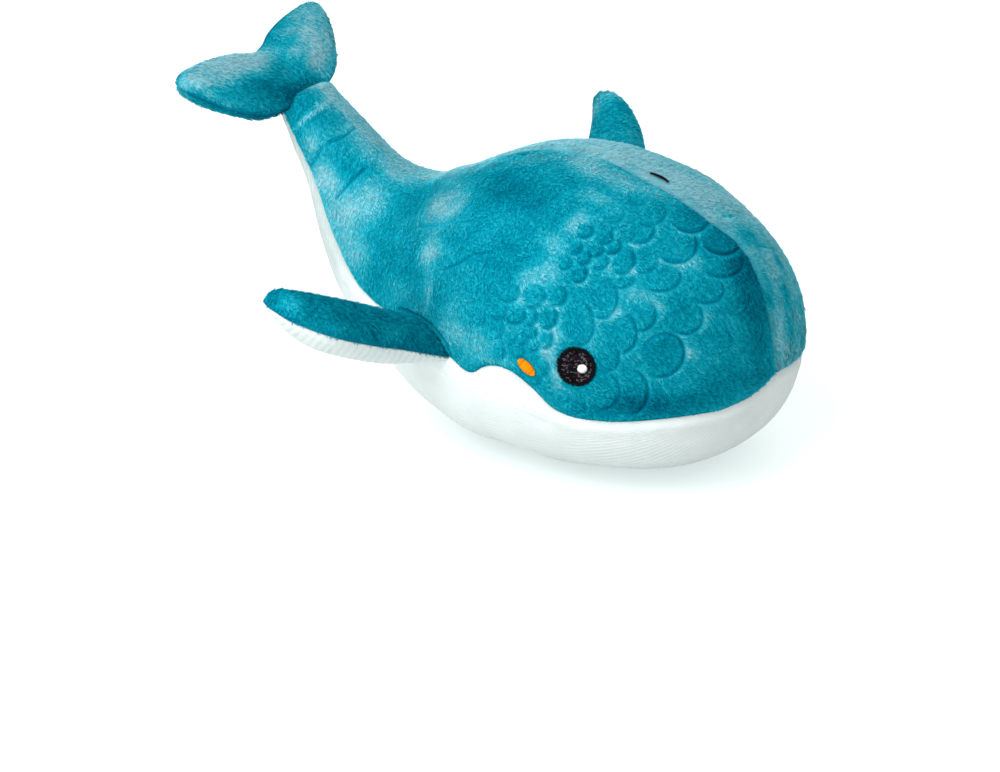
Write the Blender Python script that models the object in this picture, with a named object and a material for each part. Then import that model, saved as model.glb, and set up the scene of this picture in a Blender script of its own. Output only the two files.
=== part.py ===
"""A stuffed plush whale: three body panels over a filled body, two pectoral fins and a tail fluke.

Lengths are in metres, +Z is up, the whale faces -Y and its left side is +X. The body is drawn from
its nose point backwards, and one parent empty then stands it on the ground under its middle.
"""
import math

import bmesh
import bpy
from mathutils import Matrix, Vector
from mathutils.bvhtree import BVHTree

# Body
BODY_LENGTH = 0.266
BODY_WIDTH = 0.168
BACK_HEIGHT = 0.0895
BELLY_DEPTH = 0.056
TAIL_RISE = 0.084
TAIL_PITCH = math.radians(54.0)
PINCH_HALF_HEIGHT = 0.0042
BELLY_FLAT_DEPTH = 0.0005

# Cloth and clearances
CLOTH = 0.0025
SEAM_GAP = 0.0003
SEAM_HALF = 0.00035
SMALLEST_RING = 0.0008
WELD_DISTANCE = 0.00001
CUT_OVERRUN = 0.020

# Fins and fluke
ROOT_WEDGE_SLOPE = 0.38

# Pectoral fins
FIN_LENGTH = 0.099
FIN_THICKNESS = 0.025
FIN_ROOT_ROUND = 0.0030
FIN_ROOT_CLEARANCE = 0.0018
RIGHT_FIN_SWEEP = math.radians(18.0)
RIGHT_FIN_LIFT = math.radians(25.0)
LEFT_FIN_SWEEP = math.radians(12.0)
LEFT_FIN_LIFT = math.radians(22.0)

# Tail fluke
FLUKE_HALF_SPAN = 0.0615
FLUKE_CHORD = 0.0405
FLUKE_THICKNESS = 0.017
FLUKE_ROOT_ROUND = 0.0030
FLUKE_ROOT_CLEARANCE = 0.0002
FLUKE_PITCH = math.radians(31.0)
FLUKE_SIDE_SHIFT = 0.003

# Embroidery
PATCH_REACH = 0.012
PATCH_RIM_SHARE = 0.55
EYE_CORNERS = 20
SPOT_CORNERS = 12
BAR_STEPS = 8
BAR_END_SHARE = 0.4
EYE_DIAMETER = 0.0182
EYE_THICKNESS = 0.0010
GLINT_DIAMETER = 0.0045
GLINT_THICKNESS = 0.0006
CHEEK_LENGTH = 0.0105
CHEEK_WIDTH = 0.0052
CHEEK_THICKNESS = 0.0009
BLOWHOLE_LENGTH = 0.0105
BLOWHOLE_WIDTH = 0.0015
BLOWHOLE_RISE = 0.0018
BLOWHOLE_THICKNESS = 0.0008

# Body rows: place along the centre line, then the shares of length, tail rise, half width,
# back height, belly depth and tail pitch that the section has there.
BODY_SHARES = (
    (0.00, 0.000, 0.00, 0.87, 0.96, 1.00, 0.00),
    (0.10, 0.130, -0.03, 0.92, 0.97, 0.955, 0.00),
    (0.20, 0.257, -0.03, 0.98, 0.98, 0.955, 0.02),
    (0.32, 0.402, 0.00, 1.00, 1.00, 1.00, 0.05),
    (0.44, 0.538, 0.03, 0.92, 0.935, 1.02, 0.11),
    (0.56, 0.664, 0.08, 0.74, 0.77, 0.85, 0.23),
    (0.68, 0.780, 0.19, 0.54, 0.555, 0.67, 0.51),
    (0.79, 0.865, 0.40, 0.37, 0.355, 0.49, 0.84),
    (0.90, 0.932, 0.70, 0.26, 0.215, 0.34, 1.00),
    (1.00, 1.000, 1.00, 0.220, 0.10, 0.20, 1.00),
)
# Seam between blue back and white belly: place along the centre line, share of the way from the
# top of the section (0) to its bottom (1).
SEAM_SHARES = (
    (0.00, 0.497), (0.08, 0.511), (0.15, 0.523), (0.215, 0.514), (0.26, 0.480), (0.30, 0.463),
    (0.345, 0.474), (0.366, 0.491), (0.42, 0.485), (0.55, 0.485), (0.65, 0.514), (0.75, 0.548),
    (0.84, 0.582), (0.92, 0.625), (1.00, 0.640),
)
NOSE_ROUND_SHARE = 0.324
NOSE_POWER = 2.8
BACK_POWER = 2.14
BELLY_POWER = 2.25
NOSE_RING_SHARES = (0.04, 0.10, 0.18, 0.29, 0.42, 0.57, 0.72, 0.84, 0.92, 0.97, 1.0)
TAIL_ROWS = 16
BACK_COLUMNS = 10
BELLY_COLUMNS = 10

# Fin outline, root to tip: leading and trailing edge points as shares of the chord and length.
FIN_SHARES = (
    (0.00, 0.00, 1.00, 0.00),
    (-0.02, 0.14, 0.86, 0.14),
    (-0.04, 0.30, 0.76, 0.31),
    (-0.10, 0.52, 0.71, 0.55),
    (-0.08, 0.72, 0.71, 0.76),
    (0.05, 0.87, 0.73, 0.87),
    (0.20, 0.945, 0.70, 0.945),
    (0.50, 1.00, 0.50, 1.00),
)
FIN_CROWN_SHARES = (0.30, 0.62, 0.88, 1.00, 0.98, 0.90, 0.74, 0.0)
FIN_ROOT_SHARES = (0.419, 0.554)
FIN_COLUMNS = 7

# Fluke outline from its middle to one tip: leading and trailing edge as shares of half span and chord.
FLUKE_SHARES = (
    (0.00, 0.00, 0.00, 0.88),
    (0.13, 0.00, 0.14, 0.93),
    (0.27, 0.00, 0.29, 1.02),
    (0.54, 0.08, 0.54, 1.10),
    (0.78, 0.38, 0.81, 1.13),
    (0.93, 0.72, 0.93, 1.09),
    (1.00, 0.97, 1.00, 0.97),
)
FLUKE_CROWN_SHARES = (0.62, 0.78, 0.95, 1.00, 0.90, 0.66, 0.0)
FLUKE_COLUMNS = 8

# Embroidery places: share along the centre line and share of the way round from the top.
EYE_SHARES = (0.194, 0.427)
GLINT_OFFSET_SHARES = (0.34, -0.10)
CHEEK_SHARES = (0.268, 0.447)
CHEEK_TILT = math.radians(45.0)
BLOWHOLE_SHARES = (0.209, 0.017)

PILE_BLUE = (0.055, 0.36, 0.43, 1.0)
PLUSH_WHITE = (0.82, 0.85, 0.84, 1.0)
FIBRE_WHITE = (0.90, 0.90, 0.88, 1.0)
THREAD_BLACK = (0.012, 0.012, 0.014, 1.0)
THREAD_WHITE = (0.88, 0.88, 0.88, 1.0)
THREAD_ORANGE = (0.85, 0.30, 0.02, 1.0)


def clear_scene():
    for thing in list(bpy.data.objects):
        bpy.data.objects.remove(thing, do_unlink=True)


def fabric(name, colour, roughness):
    material = bpy.data.materials.new(name)
    material.use_nodes = True
    shader = material.node_tree.nodes["Principled BSDF"]
    shader.inputs["Base Color"].default_value = colour
    shader.inputs["Roughness"].default_value = roughness
    shader.inputs["Metallic"].default_value = 0.0
    material.diffuse_color = colour
    return material


def blue_pile():
    return fabric("blue_pile", PILE_BLUE, 0.85)


def white_plush():
    return fabric("white_plush", PLUSH_WHITE, 0.9)


def fibre():
    return fabric("polyester_fibre", FIBRE_WHITE, 0.95)


def black_thread():
    return fabric("black_thread", THREAD_BLACK, 0.45)


def white_thread():
    return fabric("white_thread", THREAD_WHITE, 0.45)


def orange_thread():
    return fabric("orange_thread", THREAD_ORANGE, 0.5)


def smooth_value(places, values, place):
    """A smooth curve through (place, value) pairs, with each tangent weighed by its two spans."""
    last = len(places) - 1
    spans = [places[i + 1] - places[i] for i in range(last)]
    slopes = [(values[i + 1] - values[i]) / spans[i] for i in range(last)]
    tangents = [slopes[0]]
    for i in range(1, last):
        weighed = slopes[i - 1] * spans[i] + slopes[i] * spans[i - 1]
        tangents.append(weighed / (spans[i] + spans[i - 1]))
    tangents.append(slopes[-1])
    k = 0
    while k < last - 1 and place > places[k + 1]:
        k += 1
    t = min(max((place - places[k]) / spans[k], 0.0), 1.0)
    start = (2 * t ** 3 - 3 * t ** 2 + 1) * values[k] + (t ** 3 - 2 * t ** 2 + t) * spans[k] * tangents[k]
    end = (3 * t ** 2 - 2 * t ** 3) * values[k + 1] + (t ** 3 - t ** 2) * spans[k] * tangents[k + 1]
    return start + end


def body_share(column, place):
    return smooth_value([row[0] for row in BODY_SHARES], [row[column] for row in BODY_SHARES], place)


def seam_angle(place):
    share = smooth_value([row[0] for row in SEAM_SHARES], [row[1] for row in SEAM_SHARES], place)
    return math.pi * share


def centre(place):
    return Vector((0.0, BODY_LENGTH * body_share(1, place), TAIL_RISE * body_share(2, place)))


def pitch(place):
    return TAIL_PITCH * body_share(6, place)


def signed_power(value, power):
    return math.copysign(abs(value) ** power, value)


def section_point(place, angle, depth):
    """A point of the body's outer surface, or of a like but smaller surface inside it."""
    inset = depth / (BODY_LENGTH * BODY_SHARES[1][1] / BODY_SHARES[1][0])
    place = inset + place * (1.0 - inset)
    ahead = 1.0 - min((place - inset) / (NOSE_ROUND_SHARE - inset), 1.0)
    swell = (1.0 - ahead ** NOSE_POWER) ** (1.0 / NOSE_POWER)
    half_width = (BODY_WIDTH / 2 * body_share(3, place) - depth) * swell
    if math.cos(angle) >= 0.0:
        height = max(BACK_HEIGHT * body_share(4, place), PINCH_HALF_HEIGHT)
        power = 2.0 / BACK_POWER
    else:
        height = max(BELLY_DEPTH * body_share(5, place), PINCH_HALF_HEIGHT)
        power = 2.0 / BELLY_POWER
    rise = (height - depth) * swell * signed_power(math.cos(angle), power)
    side = half_width * signed_power(math.sin(angle), power)
    tilt = pitch(place)
    return centre(place) + Vector((side, -rise * math.sin(tilt), rise * math.cos(tilt)))


def body_point(place, angle, depth=0.0):
    """A point of the body at a depth below its surface, on a straight line down to the filling."""
    outer = section_point(place, angle, 0.0)
    if depth == 0.0:
        return outer
    return outer.lerp(section_point(place, angle, CLOTH + SEAM_GAP), depth / (CLOTH + SEAM_GAP))


def body_normal(place, angle):
    step = 0.01
    along = body_point(place + step, angle) - body_point(place - step, angle)
    around = body_point(place, angle + step) - body_point(place, angle - step)
    outward = along.cross(around).normalized()
    return outward if outward.dot(body_point(place, angle) - centre(place)) > 0.0 else -outward


def first_place(depth):
    """The place near the nose where the ring round the centre line is just wide enough to build."""
    low, high = 0.0, NOSE_ROUND_SHARE
    for _ in range(60):
        middle = (low + high) / 2
        if body_point(middle, math.pi / 2, depth).x < SMALLEST_RING:
            low = middle
        else:
            high = middle
    return high


def body_places(depth):
    """Rows from nose to tail, close together where the nose rounds over."""
    places = [first_place(depth)]
    for share in NOSE_RING_SHARES:
        turn = share * math.pi / 2
        places.append(NOSE_ROUND_SHARE * (1.0 - math.cos(turn) ** (2.0 / NOSE_POWER)))
    for row in range(1, TAIL_ROWS + 1):
        places.append(NOSE_ROUND_SHARE + (1.0 - NOSE_ROUND_SHARE) * row / TAIL_ROWS)
    return places


def angle_step(place, angle, depth, length):
    """How far round the section a given length reaches."""
    step = 0.01
    chord = body_point(place, angle + step, depth) - body_point(place, angle - step, depth)
    return length * 2 * step / chord.length


def panel_row(place, start, end, columns, depth):
    """Points of one panel across one section, half a seam gap inside both of its edges."""
    first = start + angle_step(place, start, depth, SEAM_GAP / 2)
    last = end - angle_step(place, end, depth, SEAM_GAP / 2)
    return [body_point(place, first + (last - first) * c / columns, depth) for c in range(columns + 1)]


def add_object(name, mesh, material, parent):
    mesh.materials.append(material)
    mesh.shade_smooth()
    mesh.set_sharp_from_angle(angle=math.radians(40.0))
    piece = bpy.data.objects.new(name, mesh)
    bpy.context.scene.collection.objects.link(piece)
    piece.parent = parent
    return piece


def solid_from_faces(name, points, faces, material, parent):
    """One closed body from points and index faces; points that fall together are joined."""
    mesh = bpy.data.meshes.new(name)
    shape = bmesh.new()
    joined = {}
    corners = []
    for point in points:
        key = tuple(round(value / WELD_DISTANCE) for value in point)
        if key not in joined:
            joined[key] = shape.verts.new(point)
        corners.append(joined[key])
    for face in faces:
        loop = []
        for i in face:
            if corners[i] not in loop:
                loop.append(corners[i])
        if len(loop) > 2:
            shape.faces.new(loop)
    bmesh.ops.recalc_face_normals(shape, faces=shape.faces)
    shape.to_mesh(mesh)
    shape.free()
    return add_object(name, mesh, material, parent)


def split_quad(a, b, c, d):
    """Two triangles with the diagonal from a to c, so that nested surfaces bend alike."""
    return [(a, b, c), (a, c, d)]


def shell(name, outer, inner, material, parent):
    """A sheet of cloth: an outer and an inner grid of like size, joined round their edges."""
    rows, columns = len(outer), len(outer[0])
    points = [point for grid in (outer, inner) for row in grid for point in row]
    layer = rows * columns
    faces = []
    for r in range(rows - 1):
        for c in range(columns - 1):
            a = r * columns + c
            for corner in split_quad(a, a + 1, a + columns + 1, a + columns):
                faces.append(corner)
                faces.append(tuple(layer + i for i in reversed(corner)))
    rim = [c for c in range(columns)]
    rim += [r * columns + columns - 1 for r in range(1, rows)]
    rim += [(rows - 1) * columns + c for c in range(columns - 2, -1, -1)]
    rim += [r * columns for r in range(rows - 2, 0, -1)]
    for k, a in enumerate(rim):
        b = rim[(k + 1) % len(rim)]
        faces += split_quad(b, a, a + layer, b + layer)
    return solid_from_faces(name, points, faces, material, parent)


def tube_solid(name, rings, material, parent):
    """A closed body through rings of points, with a point at the middle of each end."""
    around = len(rings[0])
    points = [point for ring in rings for point in ring]
    faces = []
    for r in range(len(rings) - 1):
        for c in range(around):
            d = (c + 1) % around
            below = (r + 1) * around
            faces += split_quad(r * around + c, r * around + d, below + d, below + c)
    for ring, base in ((rings[0], 0), (rings[-1], (len(rings) - 1) * around)):
        points.append(sum(ring, Vector()) / around)
        for c in range(around):
            faces.append((base + c, base + (c + 1) % around, len(points) - 1))
    return solid_from_faces(name, points, faces, material, parent)


def body_panel(name, start, end, columns, material, parent):
    """One cloth panel of the body; start and end give its edge angles at a place."""
    grids = []
    for depth in (0.0, CLOTH):
        rows = [panel_row(p, start(p), end(p), columns, depth) for p in body_places(depth)]
        grids.append(rows)
    return shell(name, grids[0], grids[1], material, parent)


def right_back_panel(parent, material):
    return body_panel("back_panel_right", lambda p: -seam_angle(p), lambda p: 0.0,
                      BACK_COLUMNS, material, parent)


def left_back_panel(parent, material):
    return body_panel("back_panel_left", lambda p: 0.0, seam_angle, BACK_COLUMNS, material, parent)


def belly_panel(parent, material):
    return body_panel("belly_panel", seam_angle, lambda p: 2 * math.pi - seam_angle(p),
                      BELLY_COLUMNS, material, parent)


def body_filling(parent, material):
    """The filling follows the rows and columns of the panels, a gap inside them."""
    depth = CLOTH + SEAM_GAP
    rings = []
    for place in body_places(depth)[:-1]:
        seam = seam_angle(place)
        edges = ((-seam, 0.0, BACK_COLUMNS), (0.0, seam, BACK_COLUMNS),
                 (seam, 2 * math.pi - seam, BELLY_COLUMNS))
        ring = []
        for start, end, columns in edges:
            ring += [body_point(place, start + (end - start) * c / columns, depth) for c in range(columns)]
        rings.append(ring)
    return tube_solid("body_filling", rings, material, parent)


def flatten_belly(panel):
    """The belly is pressed flat where the whale lies on it."""
    mesh = bpy.data.meshes.new("ground_cut")
    shape = bmesh.new()
    bmesh.ops.create_cube(shape, size=1.0)
    shape.to_mesh(mesh)
    shape.free()
    cutter = bpy.data.objects.new("ground_cut", mesh)
    bpy.context.scene.collection.objects.link(cutter)
    cutter.parent = panel.parent
    cutter.scale = (BODY_WIDTH + CUT_OVERRUN, BODY_LENGTH + CUT_OVERRUN, CUT_OVERRUN)
    lowest = min(vertex.co.z for vertex in panel.data.vertices)
    cut_top = lowest + BELLY_FLAT_DEPTH
    cutter.location = (0.0, BODY_LENGTH / 2, cut_top - CUT_OVERRUN / 2)
    cutter.hide_render = True
    cutter.display_type = "WIRE"
    cut = panel.modifiers.new("pressed_flat", "BOOLEAN")
    cut.operation = "DIFFERENCE"
    cut.solver = "EXACT"
    cut.object = cutter
    return cut_top


def leaf_edges(shares, row):
    """Leading and trailing edge shares at a row of a leaf's table, smoothly between its rows."""
    places = list(range(len(shares)))
    return [smooth_value(places, [entry[k] for entry in shares], row) for k in range(4)]


def leaf_crown(crown_shares, row):
    return smooth_value(list(range(len(crown_shares))), list(crown_shares), row)


def root_limit(distance, root_round):
    """Half thickness that a rounded root, and the wedge beyond it, allow at a distance from its edge."""
    if distance < root_round:
        return math.sqrt(max(root_round ** 2 - (root_round - distance) ** 2, 0.0))
    return root_round + ROOT_WEDGE_SLOPE * (distance - root_round)


def across_share(column, columns):
    return (1.0 - math.cos(math.pi * column / columns)) / 2


def crowned(spot, share, crown, thickness, root_round, from_root):
    """A mid-plane spot of a leaf with the half thickness that its crown and its root give it."""
    rise = math.sqrt(max(1.0 - (2 * share - 1.0) ** 2, 0.0))
    half = min(thickness / 2 * crown * rise, root_limit(from_root, root_round))
    return (spot, max(half, SEAM_HALF))


def fin_rows():
    """Rows of the fin's table: a rounded root, even rows, and close rows at the tip."""
    first_row = FIN_SHARES[1][1] * FIN_LENGTH
    last = len(FIN_SHARES) - 1
    root = [FIN_ROOT_ROUND * (1.0 - math.cos(k * math.pi / 6)) / first_row for k in range(4)]
    return root + [float(k) for k in range(1, last)] + [last - 0.5, last - 0.15, float(last)]


def fin_grid(chord):
    """The fin's mid-plane from its hinge line, x outwards and y backwards, with half thicknesses."""
    grid = []
    for row in fin_rows():
        lead_back, lead_out, trail_back, trail_out = leaf_edges(FIN_SHARES, row)
        lead = Vector((lead_out * FIN_LENGTH, lead_back * chord, 0.0))
        trail = Vector((trail_out * FIN_LENGTH, trail_back * chord, 0.0))
        crown = leaf_crown(FIN_CROWN_SHARES, row)
        line = []
        for column in range(FIN_COLUMNS + 1):
            share = across_share(column, FIN_COLUMNS)
            spot = lead.lerp(trail, share)
            from_root = spot.x
            spot.x -= FIN_ROOT_ROUND
            line.append(crowned(spot, share, crown, FIN_THICKNESS, FIN_ROOT_ROUND, from_root))
        grid.append(line)
    return grid


def fluke_rows():
    """Rows of the fluke's table from the right tip through the middle to the left tip."""
    last = len(FLUKE_SHARES) - 1
    half = [0.5 * k for k in range(2, 2 * last)] + [last - 0.15, float(last)]
    return [-row for row in reversed(half)] + [0.0] + half


def fluke_grid():
    """The fluke's mid-plane from its hinge line, x to its left and y backwards."""
    grid = []
    for row in fluke_rows():
        lead_out, lead_back, trail_out, trail_back = leaf_edges(FLUKE_SHARES, abs(row))
        side = math.copysign(FLUKE_HALF_SPAN, row)
        lead = Vector((lead_out * side, lead_back * FLUKE_CHORD, 0.0))
        trail = Vector((trail_out * side, trail_back * FLUKE_CHORD, 0.0))
        crown = leaf_crown(FLUKE_CROWN_SHARES, abs(row))
        line = []
        for column in range(FLUKE_COLUMNS + 1):
            share = across_share(column, FLUKE_COLUMNS)
            spot = lead.lerp(trail, share)
            from_root = spot.y
            spot.y -= FLUKE_ROOT_ROUND
            line.append(crowned(spot, share, crown, FLUKE_THICKNESS, FLUKE_ROOT_ROUND, from_root))
        grid.append(line)
    return grid


def leaf_side(grid, mirror, height):
    """One surface of a leaf; height turns a half thickness into a signed height."""
    return [[Vector((mirror * spot.x, spot.y, height(half))) for spot, half in line] for line in grid]


def leaf_pieces(prefix, grid, mirror, top_material, bottom_material, fibre_material, parent):
    """Two cloth sheets that meet at the edge seam, and the filling between them."""
    inner = lambda half: max(half - CLOTH, SEAM_GAP / 2)
    top = leaf_side(grid, mirror, lambda half: half)
    top_inside = leaf_side(grid, mirror, inner)
    bottom = leaf_side(grid, mirror, lambda half: -half)
    bottom_inside = leaf_side(grid, mirror, lambda half: -inner(half))
    shell(prefix + "_top_panel", top, top_inside, top_material, parent)
    shell(prefix + "_bottom_panel", bottom, bottom_inside, bottom_material, parent)
    filled = filled_part(grid)
    filling_top = leaf_side(filled, mirror, lambda half: half - CLOTH - SEAM_GAP)
    filling_bottom = leaf_side(filled, mirror, lambda half: CLOTH + SEAM_GAP - half)
    shell(prefix + "_filling", filling_top, filling_bottom, fibre_material, parent)


def filled_part(grid):
    """The block of a leaf's grid where filling of some thickness fits between the sheets."""
    least = CLOTH + 2 * SEAM_GAP
    columns = range(2, len(grid[0]) - 2)
    lines = [line for line in grid if min(line[c][1] for c in columns) > least]
    return [[line[c] for c in columns] for line in lines]


def hinge(name, place, out, back, parent):
    """An empty on a hinge line: its X points out of the body and its Y lies backwards."""
    up = out.cross(back).normalized()
    empty = bpy.data.objects.new(name, None)
    bpy.context.scene.collection.objects.link(empty)
    empty.empty_display_size = FIN_ROOT_ROUND
    empty.parent = parent
    turn = Matrix((out, back, up)).transposed().to_4x4()
    empty.matrix_local = Matrix.Translation(place) @ turn
    return empty


def fin_hinge(name, side, sweep, lift, parent):
    """The hinge of a pectoral fin lies along the body seam that the fin is sewn into."""
    front, rear = [body_point(share, side * seam_angle(share)) for share in FIN_ROOT_SHARES]
    back = (rear - front).normalized()
    outward = Vector((side * math.cos(lift) * math.cos(sweep), math.cos(lift) * math.sin(sweep),
                      math.sin(lift)))
    out = (outward - outward.dot(back) * back).normalized()
    place = front + out * (FIN_ROOT_ROUND + FIN_ROOT_CLEARANCE)
    return hinge(name, place, side * out, back, parent), (rear - front).length


def pectoral_fin(word, side, sweep, lift, materials, parent):
    empty, chord = fin_hinge(word + "_fin_hinge", side, sweep, lift, parent)
    leaf_pieces(word + "_fin", fin_grid(chord), side, materials["blue"], materials["white"],
                materials["fibre"], empty)


def tail_fluke(materials, parent):
    """The fluke is sewn across the pinched end of the body, so its hinge lies along X there."""
    end = centre(1.0)
    tilt = pitch(1.0)
    standoff = FLUKE_ROOT_ROUND + FLUKE_ROOT_CLEARANCE
    place = end + standoff * Vector((0.0, math.cos(tilt), math.sin(tilt)))
    place.x -= FLUKE_SIDE_SHIFT
    back = Vector((0.0, math.cos(FLUKE_PITCH), math.sin(FLUKE_PITCH)))
    empty = hinge("fluke_hinge", place, Vector((1.0, 0.0, 0.0)), back, parent)
    leaf_pieces("fluke", fluke_grid(), 1.0, materials["blue"], materials["blue"],
                materials["fibre"], empty)


def surface_of(piece):
    mesh = piece.data
    polygons = [tuple(face.vertices) for face in mesh.polygons]
    return BVHTree.FromPolygons([vertex.co.copy() for vertex in mesh.vertices], polygons)


def patch(name, carrier, middle, out, along, outline, thickness, material, parent):
    """Raised embroidery: a low dome that follows the cloth; outline gives its rim as flat places."""
    tree = surface_of(carrier)
    up = out.cross(along).normalized()
    along = up.cross(out).normalized()
    layers = []
    for raised in (False, True):
        rings = []
        for ring, dome in ((1.0, PATCH_RIM_SHARE), (0.72, 0.86), (0.38, 0.97)):
            line = []
            for x, y in outline:
                start = middle + along * (x * ring) + up * (y * ring) + out * PATCH_REACH
                spot = tree.ray_cast(start, -out)[0]
                line.append(spot + out * (SEAM_GAP + (thickness * dome if raised else 0.0)))
            rings.append(line)
        layers.append(rings)
    rings = list(reversed(layers[0])) + layers[1]
    return tube_solid(name, rings, material, parent)


def oval(length, width, tilt, corners):
    """Rim of an oval with its long axis turned by tilt."""
    rim = []
    for k in range(corners):
        turn = 2 * math.pi * k / corners
        x, y = length / 2 * math.cos(turn), width / 2 * math.sin(turn)
        rim.append((x * math.cos(tilt) - y * math.sin(tilt), x * math.sin(tilt) + y * math.cos(tilt)))
    return rim


def arched_bar(name, carrier, middle, out, along, material, parent):
    """A raised bar of stitches on the cloth, bent to a low arch, with tapered ends."""
    tree = surface_of(carrier)
    up = out.cross(along).normalized()
    along = up.cross(out).normalized()
    domed = [(-1.0, PATCH_RIM_SHARE), (-0.5, 0.90), (0.0, 1.0), (0.5, 0.90), (1.0, PATCH_RIM_SHARE)]
    section = domed + [(1.0, 0.0), (-1.0, 0.0)]
    rings = []
    for k in range(BAR_STEPS + 1):
        share = k / BAR_STEPS
        x = BLOWHOLE_LENGTH * (share - 0.5)
        y = BLOWHOLE_RISE * (1.0 - (2 * share - 1.0) ** 2)
        half = BLOWHOLE_WIDTH / 2 * (BAR_END_SHARE + (1.0 - BAR_END_SHARE) * math.sin(math.pi * share))
        ring = []
        for side, dome in section:
            start = middle + along * x + up * (y + side * half) + out * PATCH_REACH
            ring.append(tree.ray_cast(start, -out)[0] + out * (SEAM_GAP + BLOWHOLE_THICKNESS * dome))
        rings.append(ring)
    return tube_solid(name, rings, material, parent)


def eye_set(word, side, carrier, materials, parent):
    """Embroidered eye with its small white glint, and the orange cheek spot behind it."""
    place, share = EYE_SHARES
    angle = side * math.pi * share
    middle, out = body_point(place, angle), body_normal(place, angle)
    forward = Vector((0.0, -1.0, 0.0))
    rim = oval(EYE_DIAMETER, EYE_DIAMETER, 0.0, EYE_CORNERS)
    eye = patch("eye_" + word, carrier, middle, out, forward, rim, EYE_THICKNESS,
                materials["black"], parent)
    ahead, above = [s * EYE_DIAMETER / 2 for s in GLINT_OFFSET_SHARES]
    rise = Vector((0.0, 0.0, 1.0))
    rim = oval(GLINT_DIAMETER, GLINT_DIAMETER, 0.0, SPOT_CORNERS)
    patch("eye_glint_" + word, eye, middle + forward * ahead + rise * above, out, forward, rim,
          GLINT_THICKNESS, materials["thread_white"], parent)
    place, share = CHEEK_SHARES
    angle = side * math.pi * share
    middle, out = body_point(place, angle), body_normal(place, angle)
    rim = oval(CHEEK_LENGTH, CHEEK_WIDTH, side * CHEEK_TILT, SPOT_CORNERS)
    patch("cheek_spot_" + word, carrier, middle, out, forward, rim, CHEEK_THICKNESS,
          materials["orange"], parent)


def blowhole(carrier, material, parent):
    """One arched line of stitches on the left back panel, close to the middle seam."""
    place, share = BLOWHOLE_SHARES
    angle = math.pi * share
    middle, out = body_point(place, angle), body_normal(place, angle)
    forward = Vector((0.0, -1.0, 0.0))
    arched_bar("blowhole_stitch", carrier, middle, out, forward, material, parent)


def stand_up(whale, ground):
    """Move the whale so that the origin lies on the ground under the middle of its box."""
    bpy.context.view_layer.update()
    corners = []
    for piece in bpy.data.objects:
        if piece.type == "MESH" and not piece.hide_render:
            corners += [piece.matrix_world @ vertex.co for vertex in piece.data.vertices]
    middle = [(min(c[k] for c in corners) + max(c[k] for c in corners)) / 2 for k in (0, 1)]
    whale.location = (-middle[0], -middle[1], -ground)


def build():
    clear_scene()
    materials = {"blue": blue_pile(), "white": white_plush(), "fibre": fibre(),
                 "black": black_thread(), "thread_white": white_thread(), "orange": orange_thread()}
    whale = bpy.data.objects.new("whale", None)
    bpy.context.scene.collection.objects.link(whale)
    right = right_back_panel(whale, materials["blue"])
    left = left_back_panel(whale, materials["blue"])
    belly = belly_panel(whale, materials["white"])
    body_filling(whale, materials["fibre"])
    ground = flatten_belly(belly)
    pectoral_fin("right", -1.0, RIGHT_FIN_SWEEP, RIGHT_FIN_LIFT, materials, whale)
    pectoral_fin("left", 1.0, LEFT_FIN_SWEEP, LEFT_FIN_LIFT, materials, whale)
    tail_fluke(materials, whale)
    eye_set("right", -1.0, right, materials, whale)
    eye_set("left", 1.0, left, materials, whale)
    blowhole(left, materials["black"], whale)
    stand_up(whale, ground)


build()
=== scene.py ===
import math

import bpy
import numpy as np
from mathutils import Matrix, Vector
from mathutils.bvhtree import BVHTree


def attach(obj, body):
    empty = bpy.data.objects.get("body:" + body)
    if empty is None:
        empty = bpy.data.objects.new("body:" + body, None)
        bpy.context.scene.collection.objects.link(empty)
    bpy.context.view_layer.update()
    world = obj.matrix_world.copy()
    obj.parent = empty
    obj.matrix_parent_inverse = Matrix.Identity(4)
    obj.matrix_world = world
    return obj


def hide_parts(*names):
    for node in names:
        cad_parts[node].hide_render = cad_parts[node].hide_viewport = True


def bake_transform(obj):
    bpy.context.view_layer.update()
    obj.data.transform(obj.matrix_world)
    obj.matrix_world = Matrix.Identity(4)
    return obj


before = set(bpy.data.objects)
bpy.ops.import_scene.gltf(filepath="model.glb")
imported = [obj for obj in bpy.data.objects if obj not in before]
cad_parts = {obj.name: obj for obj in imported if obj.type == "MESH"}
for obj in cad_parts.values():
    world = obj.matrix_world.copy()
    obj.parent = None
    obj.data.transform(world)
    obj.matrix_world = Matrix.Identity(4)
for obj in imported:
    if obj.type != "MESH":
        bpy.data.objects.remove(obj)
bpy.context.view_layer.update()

MM = 0.001
SIDES = {"right": -1.0, "left": 1.0}
random = np.random.default_rng(11)

# ---- The whale's own sizes, as in its solids: metres, nose point at WHALE_ORIGIN ----
WHALE_ORIGIN = np.array((-0.00056, -0.152527, 0.055519))
BODY_LENGTH = 0.266
BODY_WIDTH = 0.168
BACK_HEIGHT = 0.0895
BELLY_DEPTH = 0.056
TAIL_RISE = 0.084
TAIL_PITCH = math.radians(54.0)
PINCH_HALF_HEIGHT = 0.0042
NOSE_ROUND_SHARE = 0.324
NOSE_POWER = 2.8
BACK_POWER = 2.14
BELLY_POWER = 2.25
ROOT_WEDGE_SLOPE = 0.38
FIN_LENGTH = 0.099
FIN_THICKNESS = 0.025
FIN_ROOT_ROUND = 0.0030
FIN_ROOT_CLEARANCE = 0.0018
FIN_SWEEP = {"right": math.radians(18.0), "left": math.radians(12.0)}
FIN_LIFT = {"right": math.radians(25.0), "left": math.radians(22.0)}
FLUKE_HALF_SPAN = 0.0615
FLUKE_CHORD = 0.0405
FLUKE_THICKNESS = 0.017
FLUKE_ROOT_ROUND = 0.0030
FLUKE_ROOT_CLEARANCE = 0.0002
FLUKE_PITCH = math.radians(31.0)
FLUKE_SIDE_SHIFT = 0.003
SEAM_HALF = 0.00035
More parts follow.
